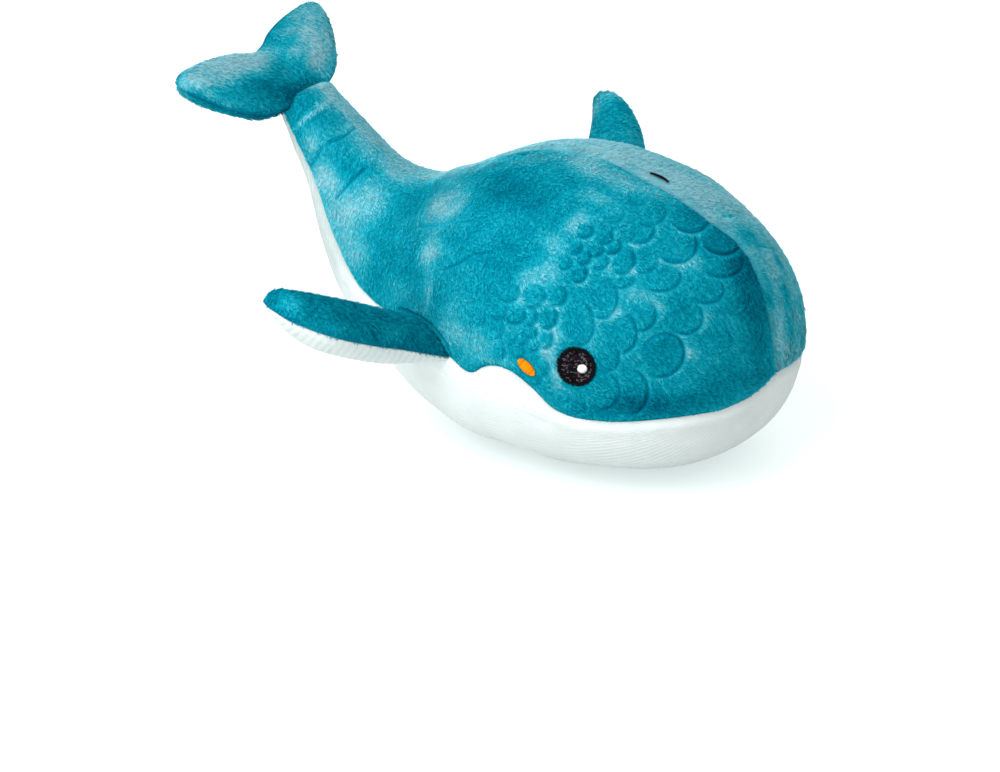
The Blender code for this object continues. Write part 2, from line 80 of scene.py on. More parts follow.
EYE_DIAMETER = 0.0182
GLINT_DIAMETER = 0.0045
CHEEK_LENGTH = 0.0105
CHEEK_WIDTH = 0.0052
BLOWHOLE_LENGTH = 0.0105
BLOWHOLE_WIDTH = 0.0015
BLOWHOLE_RISE = 0.0024
GLINT_RISE = 0.0007
EYE_SHARES = (0.194, 0.4240)
GLINT_OFFSET_SHARES = (0.34, -0.10)
CHEEK_SHARES = (0.268, 0.447)
CHEEK_TILT = math.radians(45.0)
CHEEK_STITCH_TILT = math.radians(34.0)
BLOWHOLE_SHARES = (0.209, 0.017)

# Place along the body, then shares of the sizes named after the table.
BODY_SHARES = (
    (0.00, 0.000, 0.00, 0.87, 0.96, 1.00, 0.00),
    (0.10, 0.130, -0.03, 0.92, 0.97, 0.955, 0.00),
    (0.20, 0.257, -0.03, 0.98, 0.98, 0.955, 0.02),
    (0.32, 0.402, 0.00, 1.00, 1.00, 1.00, 0.05),
    (0.44, 0.538, 0.03, 0.92, 0.935, 1.02, 0.11),
    (0.56, 0.664, 0.08, 0.74, 0.77, 0.85, 0.23),
    (0.68, 0.780, 0.19, 0.54, 0.555, 0.67, 0.51),
    (0.79, 0.865, 0.40, 0.37, 0.355, 0.49, 0.84),
    (0.90, 0.932, 0.70, 0.26, 0.215, 0.34, 1.00),
    (1.00, 1.000, 1.00, 0.220, 0.10, 0.20, 1.00),
)
LENGTH, RISE, WIDTH, BACK, BELLY, PITCH = range(1, 7)
SEAM_SHARES = (
    (0.00, 0.497), (0.08, 0.511), (0.15, 0.523), (0.215, 0.514), (0.26, 0.480), (0.30, 0.463),
    (0.345, 0.474), (0.366, 0.491), (0.42, 0.485), (0.55, 0.485), (0.65, 0.514), (0.75, 0.548),
    (0.84, 0.582), (0.92, 0.625), (1.00, 0.640),
)
# The covers' own outlines, each stuffed a little differently.
FIN_SHARES = {
    "right": (
        (0.00, 0.00, 1.00, 0.00), (-0.02, 0.14, 0.86, 0.14), (-0.04, 0.30, 0.76, 0.31),
        (-0.10, 0.52, 0.71, 0.55), (-0.08, 0.72, 0.71, 0.76), (0.07, 0.86, 0.75, 0.88),
        (0.24, 0.932, 0.775, 0.928), (0.57, 0.962, 0.57, 0.962),
    ),
    "left": (
        (0.00, 0.00, 1.00, 0.00), (-0.05, 0.14, 0.83, 0.14), (-0.13, 0.30, 0.68, 0.31),
        (-0.23, 0.52, 0.57, 0.55), (-0.11, 0.72, 0.56, 0.76), (0.10, 0.87, 0.585, 0.87),
        (0.25, 0.932, 0.59, 0.925), (0.43, 0.972, 0.43, 0.972),
    ),
}
FIN_TOP_CROWN = (0.60, 0.80, 0.94, 1.00, 0.98, 0.90, 0.70, 0.0)
FIN_UNDER_CROWN = (0.60, 0.80, 0.96, 1.02, 0.85, 0.50, 0.17, 0.0)
FIN_ROOT_FULL = 0.0085
FIN_ROOT_SPAN = 0.010
FIN_ROOT_SHARES = (0.419, 0.554)
FLUKE_SHARES = (
    (0.00, 0.00, 0.00, 0.88), (0.13, 0.00, 0.14, 0.93), (0.27, 0.00, 0.29, 1.02),
    (0.54, 0.08, 0.54, 1.10), (0.78, 0.38, 0.81, 1.13), (0.93, 0.72, 0.93, 1.09),
    (1.00, 0.97, 1.00, 0.97),
)
FLUKE_CROWN_SHARES = (0.62, 0.78, 0.95, 1.00, 0.90, 0.66, 0.0)
# How much slimmer the far lobe is at its front edge: outward and backward shares.
LOBE_TRIM = (-0.033, 0.037)

# ---- Camera ----
CAMERA_AZIMUTH = math.radians(-58.6)
CAMERA_ELEVATION = math.radians(26.6)
CAMERA_DISTANCE = 2.0
NOSE_ASIDE = 0.13238
NOSE_ABOVE = 0.005714
LENS_MM = 151.2
SENSOR_MM = 36.0
FRAME_WIDTH = 1000
FRAME_HEIGHT = 772
FOCAL_PIXELS = LENS_MM / SENSOR_MM * FRAME_WIDTH


def camera_axes(azimuth, elevation):
    a, e = azimuth, elevation
    back = np.array((math.sin(a) * math.cos(e), -math.cos(a) * math.cos(e), math.sin(e)))
    right = np.array((math.cos(a), math.sin(a), 0.0))
    up = np.array((-math.sin(a) * math.sin(e), math.cos(a) * math.sin(e), math.cos(e)))
    return right, up, back


CAM_RIGHT, CAM_UP, CAM_BACK = camera_axes(CAMERA_AZIMUTH, CAMERA_ELEVATION)
CAM_PLACE = WHALE_ORIGIN - NOSE_ASIDE * CAM_RIGHT - NOSE_ABOVE * CAM_UP + CAMERA_DISTANCE * CAM_BACK


def to_pixels(points):
    """Where points of the row frame fall in the photo."""
    seen = points - CAM_PLACE
    depth = -(seen @ CAM_BACK)
    across = FRAME_WIDTH / 2 + FOCAL_PIXELS * (seen @ CAM_RIGHT) / depth
    down = FRAME_HEIGHT / 2 - FOCAL_PIXELS * (seen @ CAM_UP) / depth
    return np.stack((across, down), axis=-1)


# ---- Small maths ----
def smooth_value(places, values, place):
    """The smooth curve through (place, value) pairs that the solids are drawn with."""
    places, values = np.asarray(places, float), np.asarray(values, float)
    spans = np.diff(places)
    slopes = np.diff(values) / spans
    inner = (slopes[:-1] * spans[1:] + slopes[1:] * spans[:-1]) / (spans[1:] + spans[:-1])
    tangents = np.concatenate((slopes[:1], inner, slopes[-1:]))
    k = np.clip(np.searchsorted(places, place) - 1, 0, len(spans) - 1)
    t = np.clip((place - places[k]) / spans[k], 0.0, 1.0)
    start = ((2 * t ** 3 - 3 * t ** 2 + 1) * values[k]
             + (t ** 3 - 2 * t ** 2 + t) * spans[k] * tangents[k])
    end = (3 * t ** 2 - 2 * t ** 3) * values[k + 1] + (t ** 3 - t ** 2) * spans[k] * tangents[k + 1]
    return start + end


def table_value(table, place, column=1):
    """A column of a table at places of its first column."""
    table = np.asarray(table, float)
    return smooth_value(table[:, 0], table[:, column], place)


def ramp(low, high, value):
    """0 below low, 1 above high, smooth between."""
    t = np.clip((value - low) / (high - low), 0.0, 1.0)
    return t * t * (3 - 2 * t)


def bell(value, width):
    return np.exp(-(value / width) ** 2)


def rotated(x, y, tilt):
    """Places x and y along and across an axis at a tilt."""
    c, s = math.cos(tilt), math.sin(tilt)
    return x * c + y * s, y * c - x * s


def unit(vectors):
    return vectors / np.maximum(np.linalg.norm(vectors, axis=-1, keepdims=True), 1e-12)


class Waves:
    """Soft noise of about -1 to 1 in space: a sum of plane waves of about one length."""

    def __init__(self, length, count=18):
        directions = unit(random.normal(size=(count, 3)))
        sizes = 2 * math.pi / (length * random.uniform(0.7, 1.5, size=(count, 1)))
        self.vectors = directions * sizes
        self.phases = random.uniform(0, 2 * math.pi, count)
        self.scale = math.sqrt(2.0 / count)

    def __call__(self, points):
        return np.sin(points @ self.vectors.T + self.phases).sum(axis=-1) * self.scale / 1.6


# ---- Body surface ----
NOSE_TURN = math.pi / 2
TAIL_CAP = 0.0055
# The middle seam wanders to the right side over the nose: place, angle.
MIDDLE_SHIFTS = (
    (0.000, -0.130), (0.012, -0.114), (0.034, -0.053), (0.064, -0.012), (0.110, -0.018),
    (0.155, -0.014), (0.220, 0.000), (1.000, 0.000),
)
# How much further round than on the solid the belly seam runs in front of the eyes: place, share.
SEAM_DROPS = (
    (0.000, 0.12), (0.002, 0.11), (0.005, 0.10), (0.01, 0.08), (0.02, 0.065), (0.04, 0.032),
    (0.07, 0.015), (0.10, 0.008), (0.15, 0.0), (0.20, 0.0), (0.50, 0.0), (1.00, 0.0),
)


def middle_angle(place):
    return table_value(MIDDLE_SHIFTS, place)


def body_share(column, place):
    return table_value(BODY_SHARES, place, column)


def seam_angle(place):
    return math.pi * table_value(SEAM_SHARES, place) * (1 + table_value(SEAM_DROPS, place))


def place_of(turn):
    """Place along the body: 0 at the nose, NOSE_ROUND_SHARE at NOSE_TURN, 1 from the tail's end on."""
    nose = NOSE_ROUND_SHARE * (1.0 - np.cos(np.clip(turn, 0, NOSE_TURN)) ** (2.0 / NOSE_POWER))
    tail = NOSE_ROUND_SHARE + (1 - NOSE_ROUND_SHARE) * (turn - NOSE_TURN)
    return np.minimum(np.where(turn < NOSE_TURN, nose, tail), 1.0)


def turn_of(place):
    """The turn that gives a place."""
    if place < NOSE_ROUND_SHARE:
        return math.acos((1.0 - place / NOSE_ROUND_SHARE) ** (NOSE_POWER / 2.0))
    return NOSE_TURN + (place - NOSE_ROUND_SHARE) / (1 - NOSE_ROUND_SHARE)


def body_surface(turn, angle):
    """The body's outer surface. Beyond a turn of NOSE_TURN + 1 it rounds over the tail's end."""
    turn, angle = np.broadcast_arrays(np.asarray(turn, float), np.asarray(angle, float))
    cap = np.clip(turn - NOSE_TURN - 1.0, 0.0, 1.0) * math.pi / 2
    place = place_of(turn)
    swell = np.where(turn < NOSE_TURN, np.sin(np.clip(turn, 0, NOSE_TURN)) ** (2.0 / NOSE_POWER), 1.0)
    swell = swell * np.maximum(np.cos(cap), 0.02)
    cosine, sine = np.cos(angle), np.sin(angle)
    back = cosine >= 0.0
    height = np.where(back, np.maximum(BACK_HEIGHT * body_share(BACK, place), PINCH_HALF_HEIGHT),
                      np.maximum(BELLY_DEPTH * body_share(BELLY, place), PINCH_HALF_HEIGHT))
    power = np.where(back, 2.0 / BACK_POWER, 2.0 / BELLY_POWER)
    rise = height * swell * np.sign(cosine) * np.abs(cosine) ** power
    x = BODY_WIDTH / 2 * body_share(WIDTH, place) * swell * np.sign(sine) * np.abs(sine) ** power
    tilt = TAIL_PITCH * body_share(PITCH, place)
    ahead = TAIL_CAP * np.sin(cap)
    y = BODY_LENGTH * body_share(LENGTH, place) - rise * np.sin(tilt) + ahead * np.cos(tilt)
    z = TAIL_RISE * body_share(RISE, place) + rise * np.cos(tilt) + ahead * np.sin(tilt)
    return np.stack((x, y, z), axis=-1) + WHALE_ORIGIN


def body_frame(turn, angle):
    """Surface point, outward normal, direction towards the nose, and metres per radian round."""
    step = 0.004
    low = np.maximum(turn - step, 0.002)
    along = body_surface(low, angle) - body_surface(turn + step, angle)
    around = body_surface(turn, angle + step) - body_surface(turn, angle - step)
    point = body_surface(turn, angle)
    out = unit(np.cross(along, around))
    middle = body_surface(turn, angle + math.pi)
    out = np.where(((point - middle) * out).sum(-1, keepdims=True) > 0, out, -out)
    return point, out, unit(along), around / (2 * step)


# ---- Embossing and colour, placed against the photo's frame ----
# Scales: across, down, half width, half height, tilt of the long axis, direction of the pressed
# crescent (degrees clockwise from the right), depth share.
SCALES = (
    (508, 291, 10, 10, 0, 50, 1.0), (532, 295, 12, 12, 0, 45, 1.0), (556, 295, 9, 10, 0, 40, 1.0),
    (497, 310, 8, 8, 0, 50, 0.7), (514, 313, 10, 10, 0, 50, 1.0), (529, 316, 7, 9, 0, 30, 0.9),
    (546, 316, 10, 12, 0, 40, 1.2), (577, 321, 15, 23, -12, 20, 1.0), (601, 298, 16, 19, 0, 35, 1.0),
    (578, 272, 8, 9, 0, 45, 1.5), (583, 256, 7, 7, 0, 45, 1.2), (564, 262, 6, 6, 0, 45, 0.9),
    (599, 260, 8, 8, 0, 45, 1.0), (574, 246, 7, 6, 0, 45, 1.0), (594, 248, 8, 7, 0, 45, 1.1),
    (611, 244, 9, 8, 0, 45, 1.2), (584, 229, 8, 7, 0, 50, 1.2), (604, 235, 8, 7, 0, 50, 1.2),
    (622, 258, 12, 14, 0, 45, 1.1), (491, 328, 11, 11, 0, 40, 0.6), (508, 338, 6, 6, 0, 40, 0.6),
    (530, 331, 6, 6, 0, 45, 1.0), (521, 338, 5, 6, 0, 40, 0.8), (545, 339, 7, 9, 0, 35, 1.1),
    (533, 345, 5, 5, 0, 40, 0.9), (498, 353, 6, 6, 0, 40, 0.8), (517, 351, 6, 6, 0, 40, 0.7),
    (542, 367, 6, 8, 0, 30, 0.9), (535, 379, 5, 5, 0, 40, 0.9), (477, 317, 7, 7, 0, 40, 0.5),
    (535, 253, 11, 11, 0, 40, 0.5), (611, 211, 12, 9, 20, 60, 0.7), (622, 231, 12, 9, 0, 55, 0.6),
    (676, 242, 21, 19, 20, 60, 1.1), (690, 216, 19, 14, 10, 65, 1.2), (722, 239, 18, 14, 15, 75, 1.3),
    (721, 263, 20, 13, 5, 75, 0.9), (640, 229, 14, 12, -20, 55, 1.0), (652, 214, 13, 10, -25, 55, 0.8),
    (601, 228, 11, 11, 0, 50, 0.6), (643, 258, 14, 13, 0, 50, 0.7), (660, 277, 20, 13, 0, 55, 1.0),
    (621, 277, 12, 10, 0, 50, 0.8), (641, 314, 14, 16, 0, 35, 1.0), (622, 333, 14, 19, 0, 15, 1.0),
    (607, 357, 11, 13, 0, 20, 0.9), (663, 355, 20, 22, 35, 30, 1.2), (663, 356, 21, 23, 35, -75, 0.9),
    (631, 392, 16, 21, 0, 0, 1.2), (603, 391, 15, 18, 0, 10, 0.8), (684, 316, 19, 17, 20, 40, 1.1),
    (706, 289, 17, 13, 10, 45, 0.9), (715, 341, 17, 13, 0, 40, 0.6), (748, 330, 14, 20, 0, 30, 0.4),
    (700, 378, 20, 16, 0, 30, 0.5), (560, 396, 9, 7, 0, 40, 0.6), (575, 407, 9, 6, 0, 40, 0.6),
    (636, 197, 10, 7, 10, 60, 0.5), (590, 206, 9, 7, 10, 50, 0.5), (735, 300, 14, 13, 0, 50, 0.5),
)
# Pressed lines: photo points, then depth share.
CREASES = (
    (((357, 126), (344, 136), (330, 142)), 1.2),
    (((320, 147), (317, 156), (310, 165)), 0.9),
    (((366, 167), (352, 180), (337, 197)), 1.1),
    (((402, 308), (418, 315), (434, 328), (446, 343), (451, 358)), 1.5),
    (((374, 137), (378, 149), (377, 160)), 0.5),
    (((431, 262), (427, 282), (424, 305)), 0.6),
    (((444, 268), (463, 261), (473, 254), (492, 252)), 0.7),
    (((422, 226), (440, 224), (458, 216), (470, 203), (479, 184)), 0.6),
    (((470, 233), (484, 228), (496, 219)), 0.4),
    (((404, 172), (421, 196), (424, 226)), 0.35),
    (((388, 205), (396, 232), (392, 262)), 0.35),
)
# Lighter and darker places of the near side, part mottling of the pile and part painted light: painted
# shade under the head and along the edge of the face, painted sheen along the top: across, down, half
# sizes, tilt, tone.
NEAR_TONES = (
    (705, 243, 24, 13, 38, -0.16), (738, 266, 22, 16, 60, -0.19), (752, 305, 34, 13, 72, -0.24),
    (757, 350, 26, 13, 80, -0.12), (725, 385, 42, 12, -18, -0.16), (640, 405, 64, 12, -4, -0.27),
    (694, 262, 14, 9, 10, 0.19), (652, 262, 12, 7, -30, 0.17), (640, 297, 17, 9, 20, 0.17),
    (657, 306, 14, 7, 20, 0.22), (616, 312, 8, 8, 0, 0.22), (590, 347, 6, 10, 0, 0.14),
    (706, 318, 9, 9, 0, 0.15), (655, 337, 10, 5, -20, 0.16), (692, 351, 7, 9, 0, 0.17),
    (677, 266, 9, 5, 0, 0.25), (629, 270, 9, 6, 0, 0.30), (634, 243, 7, 5, 0, 0.25),
    (613, 270, 9, 7, 0, 0.25), (668, 198, 18, 8, 30, 0.16), (602, 200, 22, 8, 25, 0.20),
    (625, 186, 26, 8, 22, 0.22), (588, 166, 26, 10, 15, 0.32), (640, 184, 26, 6, 24, 0.16),
    (575, 221, 15, 9, -40, 0.30), (553, 242, 13, 12, 0, 0.24), (547, 272, 14, 16, 30, 0.24),
    (527, 281, 13, 15, 30, 0.28), (545, 304, 20, 5, 10, 0.20), (520, 301, 6, 5, 0, 0.20),
    (556, 334, 9, 9, 0, 0.28), (539, 326, 6, 6, 0, 0.22), (549, 355, 9, 13, 0, 0.36),
    (556, 375, 6, 10, 0, 0.32), (560, 390, 12, 6, 30, 0.26), (596, 402, 22, 5, 12, 0.10),
    (520, 190, 42, 22, 15, -0.16), (500, 250, 40, 34, 30, -0.10), (446, 205, 27, 16, -42, 0.34),
    (428, 249, 11, 18, 16, 0.33), (427, 290, 4, 22, 6, 0.22), (449, 178, 18, 8, 18, 0.08),
    (406, 202, 30, 12, -47, -0.07), (392, 250, 14, 26, 10, -0.04), (366, 202, 18, 26, 32, 0.31),
    (338, 214, 16, 28, 10, 0.30), (352, 250, 17, 22, 0, 0.28), (348, 158, 18, 11, 40, -0.08),
    (336, 118, 20, 12, 40, -0.14), (312, 100, 12, 10, -20, -0.10), (311, 140, 9, 16, 0, 0.26),
    (303, 120, 13, 3, -42, 0.30), (318, 108, 12, 3, -42, 0.28), (324, 178, 15, 18, -10, 0.34),
    (395, 172, 20, 8, 30, 0.17), (408, 268, 12, 22, 0, -0.06), (396, 290, 14, 14, 0, 0.10),
    (470, 342, 24, 18, 0, 0.20), (450, 322, 14, 18, 0, 0.17), (495, 360, 16, 8, 0, 0.12),
    (530, 160, 46, 6, -12, 0.14), (474, 166, 26, 7, -14, 0.14), (568, 180, 14, 14, 0, -0.06),
)
# Painted sheen: how pale the far panel is beside the middle seam. Painted shade by the nose and painted
# sheen towards the tail: how dark, then how pale, the near one is there: place, tone.
FAR_PAINTED_SHEEN = (
    (0.00, 0.28), (0.01, 0.22), (0.03, 0.23), (0.06, 0.28), (0.10, 0.36), (0.20, 0.41),
    (0.35, 0.40), (0.50, 0.36), (0.65, 0.34), (0.80, 0.36), (1.00, 0.40),
)
# Painted shade beside the middle seam on the near side by the nose, painted sheen towards the tail.
NEAR_EDGE_PAINTED_LIGHT = (
    (0.00, -0.20), (0.03, -0.22), (0.07, -0.22), (0.12, -0.14), (0.20, -0.06), (0.40, 0.08),
    (0.65, 0.20), (0.80, 0.26), (1.00, 0.28),
)
NEAR_EDGE_PAINTED_LIGHT_WIDTH = 0.010
# Soft streaks and marks of the far side.
FAR_TONES = (
    (655, 150, 40, 4, 10, -0.10), (700, 178, 34, 4, 26, -0.08), (785, 292, 18, 3, 72, -0.26),
    (778, 262, 14, 2.5, 62, -0.24), (770, 300, 10, 2.5, 70, -0.20), (746, 236, 14, 8, 50, -0.26),
    (766, 278, 12, 2.5, 66, -0.18), (788, 318, 14, 2.5, 78, -0.16), (792, 330, 12, 2.5, 80, -0.12),
    (668, 160, 22, 6, 16, -0.08), (728, 214, 10, 2, 6, -0.2), (762, 246, 12, 2, 8, -0.16),
    (766, 274, 3, 16, -24, 0.10), (780, 330, 3, 20, -12, 0.12),
)
# Lighter and darker places of the fluke and of the fins, part mottling of the pile and part painted
# light: painted shade near the roots and in the fluke's middle, painted highlights on the lobes.
FLUKE_TONES = (
    (312, 30, 30, 42, -16, 0.28), (222, 68, 50, 17, -12, 0.42), (186, 84, 12, 8, 30, 0.06),
    (262, 56, 16, 8, -10, 0.06), (296, 30, 3, 20, 30, -0.12), (318, 26, 3, 18, -14, -0.10),
    (304, 54, 4, 16, 20, -0.10), (200, 84, 16, 7, 20, 0.15), (236, 60, 46, 9, -8, 0.18),
    (262, 84, 36, 14, 15, -0.16), (300, 94, 22, 16, -20, -0.15), (314, 34, 20, 32, -16, 0.12),
    (285, 60, 16, 10, 0, -0.08), (222, 100, 26, 5, 22, 0.18), (318, 62, 10, 20, -8, 0.12),
)
NEAR_FIN_TONES = (
    (290, 304, 14, 10, 25, 0.20), (330, 308, 30, 6, 12, -0.05), (424, 348, 26, 12, 20, -0.08),
    (275, 300, 10, 6, 10, 0.05), (395, 330, 26, 10, 15, 0.08), (320, 325, 20, 6, 18, 0.08),
)
# Painted light: the near fin's top darker in painted shade, the far fin lighter in painted sheen.
FIN_PAINTED_LIGHT = {"right": -0.16, "left": 0.05}
GROOVE_MM = 0.52
LIP_MM = 0.38
DOME_MM = 0.22
# Where the far panel's painted sheen turns to the near side's colours: place, share of a half turn.
FADES = (
    (0.00, 0.56), (0.03, 0.48), (0.06, 0.36), (0.10, 0.29), (0.15, 0.25), (0.20, 0.22),
    (0.30, 0.19), (0.50, 0.13), (0.65, 0.14), (0.75, 0.19), (0.90, 0.26), (1.00, 0.27),
)
FADE_SPAN = 0.11 * math.pi
# Trims of the body's height, on both sides and on the far side alone: metres, place and its reach,
# share of a half turn and its reach.
TRIMS = ((0.0016, 0.665, 0.06, 0.0, 0.15), (0.0014, 0.675, 0.030, 0.0, 0.12))
FAR_TRIMS = (
    (-0.0017, 0.085, 0.035, 0.27, 0.12), (0.0008, 0.19, 0.05, 0.21, 0.10),
    (0.0012, 0.015, 0.02, 0.46, 0.12), (-0.0014, 0.85, 0.05, 0.20, 0.15),
)


def far_fade(place, angle):
    return np.clip((angle - table_value(FADES, place) * math.pi) / FADE_SPAN, 0, 1)


def turned(pixels, across, down, tilt):
    """Offsets from a photo point along and across a tilted axis."""
    return rotated(pixels[:, 0] - across, pixels[:, 1] - down, math.radians(tilt))


def tones(pixels, table):
    total = np.zeros(len(pixels))
    for across, down, wide, high, tilt, amount in table:
        u, v = turned(pixels, across, down, tilt)
        total += amount * np.exp(-((u / wide) ** 2 + (v / high) ** 2) ** 1.4)
    return total


def emboss(pixels):
    """Height in mm, groove share and tone of the pressed scales and lines, and how far inside a
    scale a place is."""
    count = len(pixels)
    height, groove, tone, inside = [np.zeros(count) for _ in range(4)]
    for across, down, wide, high, tilt, towards, share in SCALES:
        u, v = turned(pixels, across, down, tilt)
        close = np.flatnonzero((np.abs(u) < wide + 8) & (np.abs(v) < high + 8))
        u, v = u[close], v[close]
        radius = np.hypot(u / wide, v / high)
        reach = np.hypot(u, v) / np.maximum(radius, 1e-6)
        off = (radius - 1.0) * reach
        turn = np.arctan2(v / high, u / wide) + math.radians(tilt)
        pressed = ramp(-0.25, 0.55, np.cos(turn - math.radians(towards))) * share
        height[close] += DOME_MM * share * np.clip(1 - radius ** 2, 0, 1)
        height[close] += pressed * (LIP_MM * bell(off + 3.2, 2.6) - GROOVE_MM * bell(off - 0.5, 1.6))
        inside[close] = np.maximum(inside[close], share * ramp(1.08, 0.9, radius))
        groove[close] = np.maximum(groove[close], pressed * bell(off - 0.5, 1.6))
        tone[close] += share * (-0.10 * np.clip(1.2 - radius, 0, 0.5)
                                + pressed * 0.10 * bell(off - 3.4, 1.8))
    for points, share in CREASES:
        nearest = np.full(count, 1e9)
        side = np.zeros(count)
        for (x0, y0), (x1, y1) in zip(points[:-1], points[1:]):
            run = np.array((x1 - x0, y1 - y0), float)
            offset = pixels - np.array((x0, y0))
            t = np.clip(offset @ run / (run @ run), 0, 1)
            gap = offset - t[:, None] * run
            far = np.hypot(gap[:, 0], gap[:, 1])
            here = far < nearest
            nearest = np.where(here, far, nearest)
            side = np.where(here, gap[:, 1], side)
        height += share * (LIP_MM * bell(nearest - 3.5, 2.6) * (side < 0)
                           - GROOVE_MM * bell(nearest, 1.3))
        groove = np.maximum(groove, share * bell(nearest, 1.4))
    return height, np.clip(groove, 0, 1), tone, np.clip(inside, 0, 1)


broad_waves = Waves(0.034)
patch_waves = Waves(0.011, 26)
clump_waves = Waves(0.0036, 30)
tuft_waves = Waves(0.0023, 30)
sweep_waves = [Waves(0.013, 20) for _ in range(3)]
lean_waves = [Waves(0.0034, 24) for _ in range(3)]
swell_waves = Waves(0.045)
Waves(0.008)  # a spare draw: without it all random numbers from here on would change


def near_pixels(points, side):
    """Photo places of points, those of the left side moved to the right side, which it shows."""
    if side > 0:
        points = points.copy()
        points[:, 0] = 2 * WHALE_ORIGIN[0] - points[:, 0]
    return to_pixels(points)


def body_relief(points, out, turn, angle, side):
    """Height in metres, groove share and tone of the blue panels at points of the body."""
    near = side < 0
    place = place_of(turn)
    seen = ramp(0.02, 0.16, out * (-side, 1.0, 1.0) @ CAM_BACK)
    fade = 1.0 if near else far_fade(place, angle)
    pixels = near_pixels(points, side)
    height, groove, tone, inside = emboss(pixels)
    painted = tones(pixels, NEAR_TONES)
    tone = tone + np.where(painted > 0, painted * (1 - 0.6 * inside), painted)
    height, groove, tone = height * seen * fade, groove * seen * fade, tone * seen * fade
    # Beside the middle seam: painted shade and sheen on the near panel, painted sheen on the far one.
    if near:
        from_middle = (middle_angle(place) - angle) * BODY_WIDTH / 2 * body_share(WIDTH, place)
        tone += table_value(NEAR_EDGE_PAINTED_LIGHT, place) * bell(from_middle, NEAR_EDGE_PAINTED_LIGHT_WIDTH)
    else:
        streaks = ramp(0.0, 0.1, out @ CAM_BACK) * tones(to_pixels(points), FAR_TONES)
        tone += (table_value(FAR_PAINTED_SHEEN, place) + streaks) * (1 - fade)
    # Random tone, and painted shade in the pressed grooves and creases.
    tone += 0.035 * broad_waves(points) + 0.035 * patch_waves(points) - 0.15 * groove
    height = height * MM + 0.0006 * swell_waves(points) + 0.00012 * patch_waves(points)
    share = np.abs(angle) / math.pi
    for amount, at, reach, share_at, share_reach in TRIMS if near else TRIMS + FAR_TRIMS:
        height += amount * bell(place - at, reach) * bell(share - share_at, share_reach)
    return height, groove, tone


# ---- Mesh helpers ----
def mesh_object(name, points, triangles, material, tone, maps=None, facing=None):
    """A mesh from arrays, with tone, rest place and a bake map."""
    mesh = bpy.data.meshes.new(name)
    mesh.vertices.add(len(points))
    mesh.vertices.foreach_set("co", np.asarray(points, np.float32).ravel())
    faces = np.asarray(triangles, np.int32)
    mesh.loops.add(faces.size)
    mesh.loops.foreach_set("vertex_index", faces.ravel())
    mesh.polygons.add(len(faces))
    mesh.polygons.foreach_set("loop_start", np.arange(0, faces.size, faces.shape[1], dtype=np.int32))
    mesh.update(calc_edges=True)
    mesh.shade_smooth()
    if facing is not None:
        mesh.normals_split_custom_set_from_vertices(facing)
    rest = mesh.attributes.new("rest", "FLOAT_VECTOR", "POINT")
    rest.data.foreach_set("vector", np.asarray(points, np.float32).ravel())
    shade = mesh.attributes.new("tone", "FLOAT", "POINT")
    shade.data.foreach_set("value", np.asarray(tone, np.float32))
    if maps is not None:
        layer = mesh.uv_layers.new(name="OFBake")
        layer.data.foreach_set("uv", np.asarray(maps, np.float32)[faces.ravel()].ravel())
    mesh.materials.append(material)
    piece = bpy.data.objects.new(name, mesh)
    bpy.context.scene.collection.objects.link(piece)
    return piece


def grid_normals(grid, flip):
    along = np.gradient(grid, axis=0)
    across = np.gradient(grid, axis=1)
    out = unit(np.cross(across, along))
    return out if flip else -out


def tucked(grid, tone, normals, depth):
    """A grid with its rim turned in, as a seam allowance."""
    grid = np.pad(grid, ((1, 1), (1, 1), (0, 0)), mode="edge")
    turned_in = np.pad(normals * depth, ((1, 1), (1, 1), (0, 0)), mode="edge")
    for rim in (np.s_[0], np.s_[-1], np.s_[:, 0], np.s_[:, -1]):
        grid[rim] -= turned_in[rim]
    return grid, np.pad(tone, 1, mode="edge")


def grid_object(name, grid, tone, flip, material, tuck):
    """A sheet from a grid of points, its rim tucked in."""
    grid, tone = tucked(grid, tone, grid_normals(grid, flip), tuck)
    rows, columns = grid.shape[:2]
    u, v = np.meshgrid(np.linspace(0.01, 0.99, columns), np.linspace(0.01, 0.99, rows))
    maps = np.stack((u.ravel(), v.ravel()), axis=-1)
    a = (np.arange(rows - 1)[:, None] * columns + np.arange(columns - 1)).ravel()
    faces = np.stack((a, a + 1, a + columns + 1, a + columns), axis=-1)
    faces = faces[:, ::-1] if flip else faces
    return mesh_object(name, grid.reshape(-1, 3), faces, material, tone.ravel(), maps)


# A strand's corners: two and a ridge at its root, two and a ridge at its bend, and its tip.
STRAND_FACES = np.array((
    (0, 2, 5), (0, 5, 3), (1, 4, 5), (1, 5, 2), (0, 3, 4), (0, 4, 1), (3, 5, 6), (5, 4, 6), (4, 3, 6),
    (0, 1, 2),
))
STRAND_MAP = np.array(((0.15, 0.15), (0.85, 0.15), (0.5, 0.2), (0.15, 0.5), (0.85, 0.5), (0.5, 0.55),
                       (0.5, 0.9)))
# Painted shade at a strand's root and painted sheen at its tip.
STRAND_PAINTED_LIGHT = np.array((-0.15, -0.15, -0.12, -0.01, -0.01, 0.01, 0.06))
STRAND_ROUNDING = 0.55
STRAND_ROOT_MM = 0.25
TIP_LIFT = 0.35
STRANDS_PER_PIECE = 19000


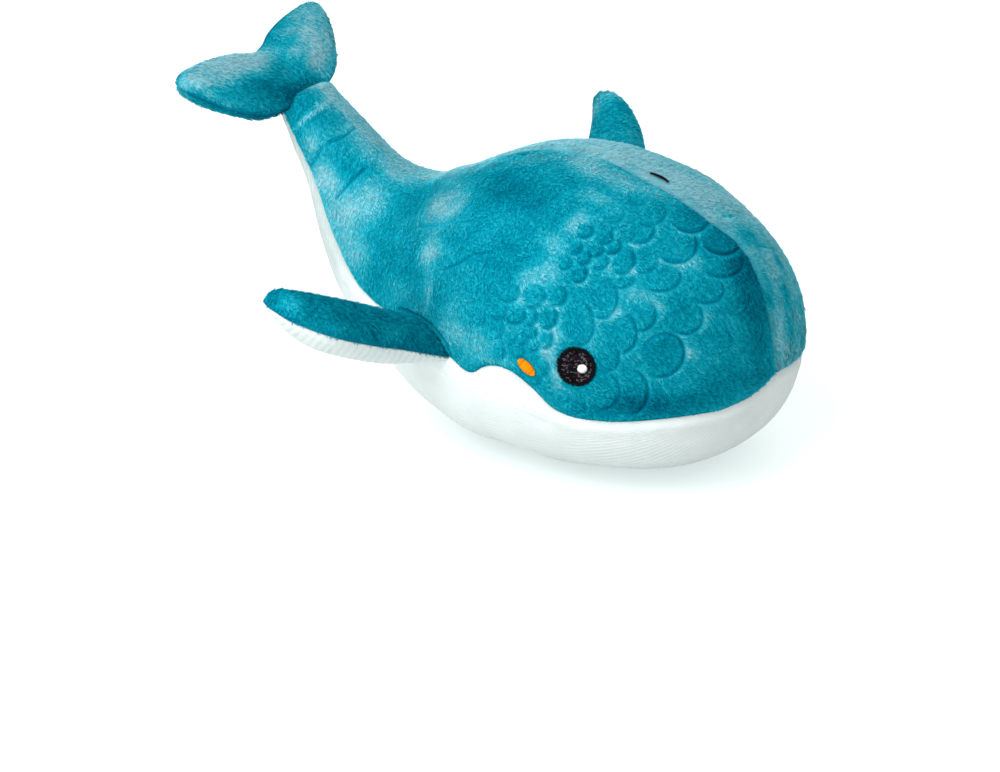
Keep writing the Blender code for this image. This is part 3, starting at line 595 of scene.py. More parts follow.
def strand_objects(name, root, out, comb, length, width, lift, tone, tilt):
    """Pile as tapered, bent strands. Each is a closed form of its own; each piece holds many."""
    pieces = []
    count = len(root)
    parts = max(1, math.ceil(count / STRANDS_PER_PIECE))
    for part, pick in enumerate(np.array_split(random.permutation(count), parts)):
        p, n, d = root[pick], out[pick], comb[pick]
        long, wide, rise = length[pick, None], width[pick, None], lift[pick, None]
        side = unit(np.cross(n, d))
        base = p - n * STRAND_ROOT_MM * MM
        bend = base + long * 0.5 * (d * np.cos(rise) + n * np.sin(rise))
        tip = bend + long * 0.5 * (d * np.cos(rise * TIP_LIFT) + n * np.sin(rise * TIP_LIFT))
        corners = [base + side * wide / 2, base - side * wide / 2, base + n * wide * 0.3,
                   bend + side * wide * 0.42, bend - side * wide * 0.42, bend + n * wide * 0.26, tip]
        points = np.stack(corners, axis=1)
        points[:, :, 2] = np.maximum(points[:, :, 2], 0.0001)
        many = len(pick)
        faces = (np.arange(many)[:, None, None] * len(corners) + STRAND_FACES).reshape(-1, 3)
        leaning = tilt[pick, None] * d
        soft = n + leaning
        left, right = soft + STRAND_ROUNDING * side, soft - STRAND_ROUNDING * side
        facing = np.stack((left, right, soft, left, right, soft, soft + leaning), axis=1)
        cells = math.ceil(math.sqrt(many))
        cell = np.stack((np.arange(many) % cells, np.arange(many) // cells), axis=-1)
        maps = ((cell[:, None, :] + STRAND_MAP) / cells).reshape(-1, 2)
        label = name if parts == 1 else f"{name}_{part + 1}"
        pieces.append(mesh_object(label, points.reshape(-1, 3), faces, pile,
                                  (tone[pick, None] + STRAND_PAINTED_LIGHT).ravel(), maps,
                                  unit(facing).reshape(-1, 3)))
    return pieces


# ---- Materials ----
def srgb(r, g, b):
    def linear(v):
        v = v / 255
        return v / 12.92 if v <= 0.04045 else ((v + 0.055) / 1.055) ** 2.4
    return (linear(r), linear(g), linear(b), 1.0)


def node(tree, kind, **values):
    made = tree.nodes.new(kind)
    for key, value in values.items():
        if key in made.inputs:
            made.inputs[key].default_value = value
        else:
            setattr(made, key, value)
    return made


def cloth_material(name, stops, noise, roughness, sheen, bumps):
    """Cloth whose colour runs over stops with the mesh's tone, broken up by fine noise.

    A stop is its position, red, green and blue. noise is (size per metre, strength) pairs;
    roughness a low and a high value; sheen is weight, roughness, tint and specular level; bumps is
    size per metre, distance and strength."""
    material = bpy.data.materials.new(name)
    material.use_nodes = True
    tree = material.node_tree
    link = tree.links.new
    shader = tree.nodes["Principled BSDF"]
    sockets = ("Sheen Weight", "Sheen Roughness", "Sheen Tint", "Specular IOR Level")
    for socket, value in zip(sockets, sheen):
        shader.inputs[socket].default_value = value
    rest = node(tree, "ShaderNodeAttribute", attribute_name="rest").outputs["Vector"]
    total = node(tree, "ShaderNodeAttribute", attribute_name="tone").outputs["Fac"]
    for size, strength in noise:
        grain = node(tree, "ShaderNodeTexNoise", Scale=size, Detail=3.0, Roughness=0.6)
        link(rest, grain.inputs["Vector"])
        scaled = node(tree, "ShaderNodeMath", operation="MULTIPLY_ADD")
        scaled.inputs[1].default_value = strength
        scaled.inputs[2].default_value = -strength / 2
        link(grain.outputs["Fac"], scaled.inputs[0])
        added = node(tree, "ShaderNodeMath", operation="ADD")
        link(total, added.inputs[0])
        link(scaled.outputs[0], added.inputs[1])
        total = added.outputs[0]
    colours = node(tree, "ShaderNodeValToRGB")
    colours.color_ramp.interpolation = "B_SPLINE" if len(stops) > 3 else "LINEAR"
    elements = colours.color_ramp.elements
    while len(elements) < len(stops):
        elements.new(0.5)
    for element, (position, *colour) in zip(elements, stops):
        element.position = position
        element.color = srgb(*colour)
    link(total, colours.inputs["Fac"])
    link(colours.outputs["Color"], shader.inputs["Base Color"])
    fine = node(tree, "ShaderNodeTexNoise", Scale=bumps[0], Detail=4.0, Roughness=0.65)
    link(rest, fine.inputs["Vector"])
    rough = node(tree, "ShaderNodeMapRange")
    rough.inputs["To Min"].default_value = roughness[0]
    rough.inputs["To Max"].default_value = roughness[1]
    link(fine.outputs["Fac"], rough.inputs["Value"])
    link(rough.outputs["Result"], shader.inputs["Roughness"])
    bump = node(tree, "ShaderNodeBump", Strength=bumps[2], Distance=bumps[1])
    link(fine.outputs["Fac"], bump.inputs["Height"])
    link(bump.outputs["Normal"], shader.inputs["Normal"])
    return material


BLUE_TINT = srgb(120, 225, 240)
WHITE_TINT = srgb(255, 255, 255)
pile = cloth_material(
    "blue_pile",
    ((0.00, 0, 76, 104), (0.22, 0, 124, 152), (0.46, 0, 172, 196),
     (0.64, 24, 190, 212), (0.82, 112, 210, 226), (1.00, 178, 227, 238)),
    ((60.0, 0.08), (900.0, 0.10)), (0.6, 0.85), (0.015, 0.35, BLUE_TINT, 0.015), (900.0, 0.0004, 0.5))
# The cloth between the strands: a darker copy of the pile's colours, painted shade.
shaded_backing = cloth_material(
    "blue_backing_painted_shade",
    ((0.00, 0, 56, 80), (0.22, 0, 92, 118), (0.46, 0, 130, 154),
     (0.64, 16, 146, 168), (0.82, 84, 164, 180), (1.00, 140, 186, 196)),
    ((60.0, 0.08), (1200.0, 0.24)), (0.7, 0.9), (0.01, 0.5, BLUE_TINT, 0.01), (1500.0, 0.0006, 0.9))
white = cloth_material(
    "white_plush", ((0.0, 188, 202, 200), (0.5, 227, 238, 236), (1.0, 242, 249, 248)),
    ((90.0, 0.12), (900.0, 0.35)), (0.75, 0.95), (0.15, 0.5, WHITE_TINT, 0.1), (1300.0, 0.0005, 0.7))
# Black thread; its lighter tones, given to some stitches, are painted gloss highlights.
black = cloth_material(
    "black_thread", ((0.0, 2, 2, 4), (0.45, 14, 12, 17), (1.0, 118, 102, 118)),
    ((2500.0, 0.3),), (0.4, 0.6), (0.01, 0.4, srgb(200, 200, 220), 0.08), (4000.0, 0.0001, 0.6))
glint_white = cloth_material(
    "white_thread", ((0.0, 190, 190, 200), (0.5, 238, 238, 242), (1.0, 252, 252, 254)),
    ((2500.0, 0.3),), (0.35, 0.5), (0.1, 0.4, WHITE_TINT, 0.4), (4000.0, 0.0001, 0.5))
orange = cloth_material(
    "orange_thread", ((0.0, 176, 76, 0), (0.5, 240, 142, 0), (1.0, 255, 186, 34)),
    ((2500.0, 0.4),), (0.4, 0.55), (0.0, 0.4, srgb(255, 220, 160), 0.06), (4000.0, 0.0001, 0.5))


# ---- Embroidery places ----
def patch_frame(shares, side):
    """Middle, outward, forward and upward directions of an embroidered patch on the body."""
    place, share = shares
    point, out, _, _ = body_frame(np.array([turn_of(place)]), np.array([side * math.pi * share]))
    up = unit(np.cross(out[0], np.array((0.0, -1.0, 0.0))))
    return point[0], out[0], np.cross(up, out[0]), up


# Oval places without pile: frame, half length, half width, tilt.
BARE = [(patch_frame(EYE_SHARES, side), EYE_DIAMETER / 2, EYE_DIAMETER / 2, 0.0)
        for side in SIDES.values()]
BARE += [(patch_frame(CHEEK_SHARES, side), CHEEK_LENGTH / 2, CHEEK_WIDTH / 2, side * CHEEK_TILT)
         for side in SIDES.values()]
BARE.append((patch_frame(BLOWHOLE_SHARES, 1.0), BLOWHOLE_LENGTH * 0.56, BLOWHOLE_WIDTH * 1.9, 0.0))


def ribbed(points, across, pitch):
    """Ribs of a ribbed cloth, -1 to 1, that run a little unevenly."""
    return np.cos(2 * math.pi * across / pitch + 0.5 * patch_waves(points))


def bare_share(points):
    """1 on an embroidered patch, 0 beside it, smooth between."""
    most = np.zeros(len(points))
    for (middle, out, forward, up), long, wide, tilt in BARE:
        gap = points - middle
        u, v = rotated(gap @ forward, gap @ up, tilt)
        radius = np.hypot(u / long, v / wide)
        off = (radius - 1) * min(long, wide)
        close = np.abs(gap @ out) < 0.02
        most = np.maximum(most, np.where(close, ramp(0.0012, -0.0004, off), 0))
    return most


# ---- Body covers ----
ROWS_NOSE = 170
ROWS_TAIL = 280
ROWS_CAP = 14
BACK_COLUMNS = 190
BELLY_COLUMNS = 380
SEAM_SINK = 0.0013
SEAM_WIDTH = 0.0024
SEAM_ROLL = 0.0005
SEAM_ROLL_AT = 0.0048
SEAM_ROLL_WIDTH = 0.003
BELLY_ROLL = 0.0004
BELLY_ROLL_AT = 0.005
BELLY_SWELL = 0.0005
BELLY_TONE = 0.66
BELLY_TAIL_SHADE = 0.62
SEAM_FLAT = NOSE_TURN + 0.36  # the middle seam is pulled flat from this turn on
TUCK = 0.002
RIB_PITCH = 0.0023
RIB_HEIGHT = 0.00020
# Painted light on the ribs' crests, painted shade in their hollows.
RIB_PAINTED_LIGHT = 0.16
CLOTH_GRAIN = 0.00005
EDGE_REACH = 0.004  # ribs and swellings rise over this much from a seam
BACKING_DEPTH = 0.0004
BELLY_COVER_DEPTH = 0.0002
BARE_DEPTH = 0.0006
FLOOR_CLEARANCE = 0.0002
BASE_TONE = 0.49
PALEST_TONE = 0.92

quick_share = 1.0


def body_turns():
    nose = NOSE_TURN * (np.linspace(0.006, 1.0, ROWS_NOSE) ** 1.35)
    tail = NOSE_TURN + np.linspace(0, 1, ROWS_TAIL + 1)[1:]
    cap = NOSE_TURN + 1 + np.linspace(0, 0.93, ROWS_CAP + 1)[1:]
    return np.concatenate((nose, tail, cap))


def panel_angle(turn, share, side):
    """Angle round the body for a share of a blue panel, from the middle seam to the belly seam."""
    place = place_of(turn)
    middle = middle_angle(place)
    return middle + share * (side * seam_angle(place) - middle)


def seam_sink(turn, angle, spread):
    """How far the cloth dips at the seams that bound a blue panel; spread is metres per radian."""
    place = place_of(turn)
    scale = np.linalg.norm(spread, axis=-1)
    to_top = np.abs(angle - middle_angle(place)) * scale
    to_belly = np.abs(seam_angle(place) - np.abs(angle)) * scale
    calm = 1.0 - ramp(NOSE_TURN + 0.05, SEAM_FLAT, turn)
    sink = SEAM_SINK * (calm * bell(to_top, SEAM_WIDTH) + bell(to_belly, SEAM_WIDTH))
    roll = SEAM_ROLL * (calm * bell(to_top - SEAM_ROLL_AT, SEAM_ROLL_WIDTH)
                        + bell(to_belly - SEAM_ROLL_AT, SEAM_ROLL_WIDTH))
    return sink - roll, to_top, to_belly


def back_height(turn, angle, side):
    """A blue panel's points, normals, two comb vectors, heights, grooves, tones, distances to the
    middle and the belly seam, and bare shares."""
    point, out, ahead, spread = body_frame(turn, angle)
    height, groove, tone = body_relief(point, out, turn, angle, side)
    sink, to_top, to_belly = seam_sink(turn, angle, spread)
    bare = bare_share(point)
    height = height - sink - BARE_DEPTH * bare
    calm = 1.0 - ramp(NOSE_TURN + 0.10, SEAM_FLAT, turn)
    shade = calm * bell(to_top, 0.0010) * 0.10 + bell(to_belly, 0.0010) * 0.08
    return point, out, ahead, spread, height, groove, tone - shade, to_top, to_belly, bare


def back_cover(word, side):
    turns = body_turns()
    shares = np.linspace(0.0, 1.0, BACK_COLUMNS + 1)
    angle = panel_angle(turns[:, None], shares[None, :], side)
    turn = np.broadcast_to(turns[:, None], angle.shape)
    point, out, _, _, height, _, tone, *_ = back_height(turn.ravel(), angle.ravel(), side)
    surface = (point + out * (height - BACKING_DEPTH)[:, None]).reshape(*angle.shape, 3)
    tone = (BASE_TONE + tone).reshape(angle.shape)
    return grid_object("back_cover_" + word, surface, tone, side > 0, shaded_backing, TUCK)


def belly_cover():
    """White cloth with fine ribs along the body."""
    turns = body_turns()[::2]
    seam = seam_angle(place_of(turns))
    shares = np.linspace(0.0, 1.0, BELLY_COLUMNS + 1)
    angle = seam[:, None] + shares[None, :] * (2 * math.pi - 2 * seam)[:, None]
    shape = angle.shape
    turn, angle = np.broadcast_to(turns[:, None], shape).ravel(), angle.ravel()
    point, out, _, spread = body_frame(turn, angle)
    place = place_of(turn)
    scale = np.linalg.norm(spread, axis=-1)
    to_seam = (np.where(angle > math.pi, 2 * math.pi - angle, angle) - seam_angle(place)) * scale
    ribs = ribbed(point, (angle - math.pi) * scale, RIB_PITCH)
    height = RIB_HEIGHT * ribs * ramp(0, EDGE_REACH, to_seam) + CLOTH_GRAIN * clump_waves(point)
    height = height + BELLY_SWELL * swell_waves(point) - SEAM_SINK * bell(to_seam, SEAM_WIDTH)
    height = height + BELLY_ROLL * bell(to_seam - BELLY_ROLL_AT, SEAM_ROLL_WIDTH)
    surface = point + out * (height - BELLY_COVER_DEPTH)[:, None]
    surface[:, 2] = np.maximum(surface[:, 2], FLOOR_CLEARANCE)
    # Painted shade along the seam, painted light on the ribs' crests and painted shade in their
    # hollows, and random tone.
    tone = BELLY_TONE - 0.3 * bell(to_seam, 0.0012) + 0.05 * patch_waves(point) + RIB_PAINTED_LIGHT * ribs
    tone -= BELLY_TAIL_SHADE * ramp(0.60, 0.80, place)
    return grid_object("belly_cover", surface.reshape(*shape, 3), tone.reshape(shape), True, white,
                       TUCK)


# ---- Pile ----
PILE_PER_SQUARE_METRE = 2.9e6
STRAND_LENGTH = 0.0020
LEAF_STRAND_LENGTH = 0.0023
STRAND_WIDTH = 0.00041
STRAND_LIFT = math.radians(28.0)
STRAND_TILT = 0.30
ROOT_DEPTH = 0.0003
SWEEP = 0.34
LEAN = 0.42
OWN_LEAN = 0.13
COMB_AHEAD = 0.80
COMB_DOWN = 0.42
PARTING_REACH = 0.008
TONE_SPREAD = 0.035
SADDLE_PLACE = 0.65
SADDLE_REACH = 0.08


def scatter(grid):
    """Rows and columns of random places on a grid of points, even over its area."""
    a = grid[1:, :-1] - grid[:-1, :-1]
    b = grid[:-1, 1:] - grid[:-1, :-1]
    areas = np.linalg.norm(np.cross(a, b), axis=-1)
    count = int(areas.sum() * PILE_PER_SQUARE_METRE * quick_share)
    total = np.cumsum(areas.ravel())
    cell = np.searchsorted(total, random.uniform(0, total[-1], count))
    row, column = np.unravel_index(np.minimum(cell, areas.size - 1), areas.shape)
    return row + random.uniform(size=count), column + random.uniform(size=count)


def combed(comb, point, out):
    """The pile's direction: a broad sweep, tufts that lean together, and some of each strand's own."""
    sweep = np.stack([waves(point) for waves in sweep_waves], axis=-1)
    lean = np.stack([waves(point) for waves in lean_waves], axis=-1)
    comb = comb + (SWEEP * sweep + LEAN * lean) + OWN_LEAN * random.normal(size=comb.shape)
    return unit(comb - (comb * out).sum(-1, keepdims=True) * out)


def strand_sizes(point, long):
    """Length, width and lift of strands, and the tone of the tuft each is in: painted shade where the
    tufts lie low, painted light where they stand high, and some random tone of each clump.
    """
    count = len(point)
    tuft, clump = tuft_waves(point), clump_waves(point)
    length = long * random.uniform(0.78, 1.15, count) * (1 + 0.20 * tuft)
    width = STRAND_WIDTH * random.uniform(0.75, 1.25, count)
    lift = STRAND_LIFT * random.uniform(0.7, 1.25, count) * (1 + 0.25 * tuft)
    return length, width, lift, 0.075 * tuft + 0.035 * clump


def strand_tones(tone, tuft):
    return np.minimum(BASE_TONE + tone, PALEST_TONE) + tuft + random.normal(0, TONE_SPREAD, len(tone))


def back_pile(word, side):
    turns = body_turns()[2:-4:3]
    shares = np.linspace(0.0, 1.0, 61)
    angle = panel_angle(turns[:, None], shares[None, :], side)
    row, column = scatter(body_surface(np.broadcast_to(turns[:, None], angle.shape), angle))
    turn = np.interp(row, np.arange(len(turns)), turns)
    place = place_of(turn)
    angle = panel_angle(turn, np.clip(column / (len(shares) - 1), 0.002, 0.999), side)
    values = back_height(turn, angle, side)
    point, out, ahead, spread, height, pressed, tone, to_top, to_belly, bare = values
    down = side * unit(spread)
    calm = ramp(NOSE_TURN + 0.10, NOSE_TURN + 0.40, turn) * bell(to_top, PARTING_REACH)
    parting = COMB_DOWN * (1.0 - 0.9 * calm)
    comb = combed(ahead * COMB_AHEAD + down * parting[:, None], point, out)
    length, width, lift, tuft = strand_sizes(point, STRAND_LENGTH)
    # A strand that reaches over a pressed line lies down too.
    fade = 1.0 if side < 0 else far_fade(place, angle)
    for share in (0.5, 1.0):
        reached = point + comb * (length * share)[:, None]
        there = emboss(near_pixels(reached, side))[1]
        pressed = np.maximum(pressed, there * fade * 0.85)
    length *= 1 - 0.8 * pressed
    length *= 0.45 + 0.55 * ramp(0.0008, 0.0045, to_belly)
    lift *= 1 - 0.5 * pressed
    # The pile lies short and flat where the saddle shows edge on.
    flat = bell(place - SADDLE_PLACE, SADDLE_REACH) * ramp(0.45, 0.10, out @ CAM_BACK)
    length *= 1 - 0.5 * flat
    lift *= 1 - 0.7 * flat
    base = point + out * (height - ROOT_DEPTH)[:, None]
    keep = (bare_share(base + comb * (length * 0.8)[:, None]) < 0.35) & (bare < 0.3)
    strands = (base, out, comb, length, width, lift, strand_tones(tone, tuft),
               STRAND_TILT * (1.0 - flat))
    return strand_objects("back_pile_" + word, *[values[keep] for values in strands])


# ---- Leaves: fins and fluke ----
def leaf_values(shares, crown_shares, row):
    rows = np.arange(len(shares))
    return [smooth_value(rows, column, row) for column in (*zip(*shares), crown_shares)]


def fin_limit(from_root):
    """Greatest half thickness near the root. A fin's end is full and rolls over its seam."""
    t = np.clip(from_root / FIN_ROOT_SPAN, 0.0, 1.0)
    roll = FIN_ROOT_FULL * np.sqrt(1.0 - (1.0 - t) ** 2)
    return 0.6 * FIN_ROOT_ROUND + roll + ROOT_WEDGE_SLOPE * np.maximum(from_root - FIN_ROOT_SPAN, 0.0)


def fluke_limit(from_root):
    return FLUKE_ROOT_ROUND + ROOT_WEDGE_SLOPE * np.maximum(from_root - FLUKE_ROOT_ROUND, 0.0)


def leaf_half(thickness, crown, share, limit):
    rise = np.sqrt(np.maximum(1.0 - (2 * share - 1.0) ** 2, 0.0))
    return np.maximum(np.minimum(thickness / 2 * crown * rise, limit), 0.0)


class Leaf:
    """A fin or the fluke: mid-plane and half thickness over (row, share), in the frame of its hinge."""

    def __init__(self, origin, across, back, up, word, chord):
        self.origin, self.across, self.back, self.up = origin, across, back, up
        self.word, self.chord = word, chord
        self.is_fin = word != "fluke"

    def local(self, row, share, side=1.0):
        """Outward and backward places and half thickness, from the middle of the hinge."""
        if self.is_fin:
            crowns = FIN_TOP_CROWN if side > 0 else FIN_UNDER_CROWN
            lead_back, lead_out, trail_back, trail_out, crown = leaf_values(
                FIN_SHARES[self.word], crowns, np.maximum(row, 0.0))
            x = (lead_out + (trail_out - lead_out) * share) * FIN_LENGTH
            y = (lead_back + (trail_back - lead_back) * share) * self.chord
            half = leaf_half(FIN_THICKNESS, crown, share, fin_limit(x))
            return x - FIN_ROOT_ROUND - np.maximum(-row, 0.0), y, half
        lead_out, lead_back, trail_out, trail_back, crown = leaf_values(
            FLUKE_SHARES, FLUKE_CROWN_SHARES, np.abs(row))
        trim = ramp(1.6, 3.0, row) * (1 - 0.4 * ramp(5.2, 6.0, row))
        lead_out, lead_back = lead_out + LOBE_TRIM[0] * trim, lead_back + LOBE_TRIM[1] * trim
        x = (lead_out + (trail_out - lead_out) * share) * np.sign(row) * FLUKE_HALF_SPAN
        y = (lead_back + (trail_back - lead_back) * share) * FLUKE_CHORD
        half = leaf_half(FLUKE_THICKNESS, crown, share, fluke_limit(y))
        return x, y - FLUKE_ROOT_ROUND, half

    def point(self, row, share, side):
        x, y, half = self.local(row, share, side)
        half = half + SEAM_HALF * ramp(0.0, 0.03, np.minimum(share, 1 - share))
        return (self.origin + x[..., None] * self.across + y[..., None] * self.back
                + (side * half)[..., None] * self.up)

    def frame(self, row, share, side):
        step = 0.01
        point = self.point(row, share, side)
        low, high = np.clip(share - step, 0.001, 1), np.clip(share + step, 0, 0.999)
        along = self.point(row + step, share, side) - self.point(row - step, share, side)
        chordwise = self.point(row, high, side) - self.point(row, low, side)
        out = unit(np.cross(along, chordwise))
        out = np.where((out @ self.up)[..., None] * side > 0, out, -out)
        return point, out, unit(along), unit(chordwise)


def fin_leaf(word):
    side = SIDES[word]
    front, rear = [body_surface(np.array([turn_of(place)]), side * seam_angle(np.array([place])))[0]
                   for place in FIN_ROOT_SHARES]
    back = unit(rear - front)
    lift, sweep = FIN_LIFT[word], FIN_SWEEP[word]
    outward = np.array((side * math.cos(lift) * math.cos(sweep), math.cos(lift) * math.sin(sweep),
                        math.sin(lift)))
    across = unit(outward - (outward @ back) * back)
    origin = front + across * (FIN_ROOT_ROUND + FIN_ROOT_CLEARANCE)
    up = unit(np.cross(side * across, back))
    return Leaf(origin, across, back, up, word, float(np.linalg.norm(rear - front)))


def fluke_leaf():
    end = WHALE_ORIGIN + np.array((0.0, BODY_LENGTH, TAIL_RISE))
    stand = FLUKE_ROOT_ROUND + FLUKE_ROOT_CLEARANCE
    origin = end + stand * np.array((0.0, math.cos(TAIL_PITCH), math.sin(TAIL_PITCH)))
    origin[0] -= FLUKE_SIDE_SHIFT
    back = np.array((0.0, math.cos(FLUKE_PITCH), math.sin(FLUKE_PITCH)))
    across = np.array((1.0, 0.0, 0.0))
    return Leaf(origin, across, back, np.cross(across, back), "fluke", FLUKE_CHORD)


FIN_COLUMNS = 84
FIN_ROWS = 190
FIN_LAST_ROW = 6.98
FLUKE_ROWS = 260
FLUKE_COLUMNS = 90
FLUKE_LAST_ROW = 5.985
ROOT_REACH = 0.0062
LEAF_RIB_HEIGHT = 0.00014
LEAF_RIB_PITCH = 0.0042
LEAF_RIB_SLANT = 0.55
# Painted light on the ribs' crests, painted shade in their hollows.
LEAF_RIB_PAINTED_LIGHT = 0.12
LEAF_SWELL = 0.0004
LEAF_SEAM_SINK = 0.0004
LEAF_SEAM_WIDTH = 0.0010
LEAF_BACKING_DEPTH = 0.0004
LEAF_TUCK = 0.0003


def leaf_rows(leaf):
    if leaf.is_fin:
        inner = -np.linspace(ROOT_REACH, 0.0, 10)[:-1]
        return np.concatenate((inner, np.linspace(0.0, FIN_LAST_ROW, FIN_ROWS)))
    return np.linspace(-FLUKE_LAST_ROW, FLUKE_LAST_ROW, FLUKE_ROWS)


def leaf_shares(columns):
    """Shares across a leaf, closer together at its edges."""
    return (1 - np.cos(np.linspace(0.0, math.pi, columns + 1))) / 2


def leaf_relief(leaf, point, out, row, share, is_white):
    """Height and tone of a leaf's cloth."""
    edge = np.minimum(share, 1 - share) * leaf.chord
    height = LEAF_SWELL * swell_waves(point * 1.3) * ramp(0.0, EDGE_REACH, edge)
    height = height - LEAF_SEAM_SINK * bell(edge, LEAF_SEAM_WIDTH)
    x, y, _ = leaf.local(row, share)
    if is_white:
        ribs = ribbed(point, x + LEAF_RIB_SLANT * y, LEAF_RIB_PITCH)
        height = height + LEAF_RIB_HEIGHT * ribs * ramp(0, EDGE_REACH, edge)
        height = height + CLOTH_GRAIN * clump_waves(point)
        # Painted light on the ribs' crests and painted shade in their hollows, and random tone.
        return height, 0.55 + 0.05 * patch_waves(point) + LEAF_RIB_PAINTED_LIGHT * ribs
    tone = 0.04 * broad_waves(point) + 0.05 * patch_waves(point)
    if leaf.is_fin:
        pixels = near_pixels(point, SIDES[leaf.word])
        return height, tone + FIN_PAINTED_LIGHT[leaf.word] + tones(pixels, NEAR_FIN_TONES)
    # Painted shade along the fluke's seams.
    tone = tone - 0.16 * bell(edge, 0.0014)
    tone = tone + tones(to_pixels(point), FLUKE_TONES) * ramp(0.0, 0.15, out @ CAM_BACK)
    # Painted shade at the middle of the fluke's root, where it meets the tail.
    return height, tone - 0.22 * ramp(0.010, 0.0, y) * ramp(0.6, 0.2, np.abs(x) / 0.04)


def leaf_cover(name, leaf, side, material):
    shares = leaf_shares(FIN_COLUMNS if leaf.is_fin else FLUKE_COLUMNS)
    grid_row, grid_share = np.meshgrid(leaf_rows(leaf), shares, indexing="ij")
    row, share = grid_row.ravel(), grid_share.ravel()
    point, out, _, _ = leaf.frame(row, share, side)
    is_white = material is white
    height, tone = leaf_relief(leaf, point, out, row, share, is_white)
    if not is_white:
        height = height - LEAF_BACKING_DEPTH * ramp(0.0, 0.04, np.minimum(share, 1 - share))
        tone = BASE_TONE + tone
    surface = point + out * height[:, None]
    handed = leaf.across @ np.cross(leaf.back, leaf.up) * side > 0
    return grid_object(name, surface.reshape(*grid_row.shape, 3), tone.reshape(grid_row.shape), handed,
                       material, LEAF_TUCK)


def leaf_pile(name, leaf, side):
    rows, shares = leaf_rows(leaf)[::3], leaf_shares(40)
    r, c = scatter(leaf.point(*np.meshgrid(rows, shares, indexing="ij"), side))
    row = np.interp(r, np.arange(len(rows)), rows)
    share = np.interp(c, np.arange(len(shares)), shares)
    point, out, along, chordwise = leaf.frame(row, share, side)
    height, tone = leaf_relief(leaf, point, out, row, share, False)
    if leaf.is_fin:
        comb = -chordwise * 0.85 - along * 0.35
    else:
        comb = -leaf.back * 0.9 - leaf.across * (np.sign(row) * 0.25)[:, None]
        comb = comb + 0.15 * broad_waves(point)[:, None] * leaf.across
    comb = combed(comb, point, out)
    length, width, lift, tuft = strand_sizes(point, LEAF_STRAND_LENGTH)
    length *= 0.7 + 0.3 * ramp(0.0, 0.004, np.minimum(share, 1 - share) * leaf.chord)
    base = point + out * (height - ROOT_DEPTH)[:, None]
    return strand_objects(name, base, out, comb, length, width, lift, strand_tones(tone, tuft),
                          np.full(len(row), STRAND_TILT))


# ---- Embroidery ----
EYE_THREAD = 0.00032
EYE_PITCH = 0.00052
EYE_STITCH = 0.0011
EYE_RIM_STITCHES = 104
SATIN_THREAD = 0.00024
BLOWHOLE_THREAD = 0.00034
BLOWHOLE_STITCHES = 30
THREAD_SIDES = 6
PATCH_REACH = 0.022


class Stitches:
    """Threads laid on a cover, in the flat frame of a patch."""

    def __init__(self, cover, frame_of_patch):
        self.middle, self.out, self.forward, self.up = frame_of_patch
        mesh = cover.data
        points = np.zeros(len(mesh.vertices) * 3)
        mesh.vertices.foreach_get("co", points)
        corners = np.zeros(len(mesh.polygons) * 4, int)
        mesh.loops.foreach_get("vertex_index", corners)
        points, corners = points.reshape(-1, 3), corners.reshape(-1, 4)
        near = np.linalg.norm(points - self.middle, axis=1) < PATCH_REACH
        kept = corners[near[corners].all(axis=1)]
        self.tree = BVHTree.FromPolygons(points.tolist(), kept.tolist())
        self.points, self.faces, self.tones = [], [], []

    def spot(self, x, y, lift):
        """A point above the cover."""
        start = self.middle + self.forward * x + self.up * y + self.out * 0.012
        hit = self.tree.ray_cast(Vector(start), Vector(-self.out))[0]
        base = np.array(hit) if hit is not None else self.middle
        return base + self.out * lift

    def skin(self, rings, tone):
        """A closed form over rings of points."""
        first, corners = len(self.points), len(rings[0])
        last = first + (len(rings) - 1) * corners
        for ring in rings:
            self.points += ring
            self.tones += [tone] * corners
        for start in range(first, last, corners):
            for c in range(corners):
                a, b = start + c, start + (c + 1) % corners
                self.faces += [(a, b, b + corners), (a, b + corners, a + corners)]
        for c in range(1, corners - 1):
            self.faces += [(first, first + c + 1, first + c), (last, last + c, last + c + 1)]

    def thread(self, start, end, radius, lift, bulge, tone, steps):
        """One stitch from start to end, higher in its middle and sunk at its ends."""
        start, end = np.array(start), np.array(end)
        run = end - start
        aside = np.array((-run[1], run[0])) / max(np.hypot(*run), 1e-9)
        aside = self.forward * aside[0] + self.up * aside[1]
        rings = []
        for k in range(steps + 1):
            t = k / steps
            arch = math.sin(math.pi * t) ** 0.5 if 0 < t < 1 else 0.0
            sunk = radius * 0.9 if t in (0, 1) else 0
            here = self.spot(*(start + run * t), lift + bulge * arch - sunk)
            size = radius * (0.55 + 0.45 * arch)
            rings.append([here + aside * size * math.cos(turn) + self.out * size * math.sin(turn)
                          for turn in np.arange(THREAD_SIDES) * math.pi / (THREAD_SIDES / 2)])
        self.skin(rings, tone)

    def pad(self, long, wide, tilt, corners, top, tone):
        """A low closed dome under the threads, so that no cloth shows between them."""
        turn = np.arange(corners) * 2 * math.pi / corners
        outline = list(zip(*rotated(long * np.cos(turn), wide * np.sin(turn), -tilt)))
        levels = [(1.0, -0.0006), (1.0, top * 0.5), (0.8, top * 0.9), (0.4, top), (0.02, top)]
        self.skin([[self.spot(x * share, y * share, lift) for x, y in outline]
                   for share, lift in levels], tone)

    def satin(self, length, width, tilt, offset, pitch, lift, tones_between):
        """Side by side threads across an oval, the short way."""
        count = int(length / pitch)
        for k in range(count + 1):
            u = -length / 2 + length * (k + 0.5) / (count + 1)
            half = width / 2 * math.sqrt(max(1 - (2 * u / length) ** 2, 0)) ** 0.9
            half *= 1 + random.uniform(-0.05, 0.05)
            ends = [np.add(rotated(u, v, -tilt), offset) for v in (-half, half)]
            self.thread(*ends, SATIN_THREAD, lift, 0.00028, random.uniform(*tones_between), 6)

    def piece(self, name, material):
        return mesh_object(name, np.array(self.points), np.array(self.faces), material,
                           np.array(self.tones))


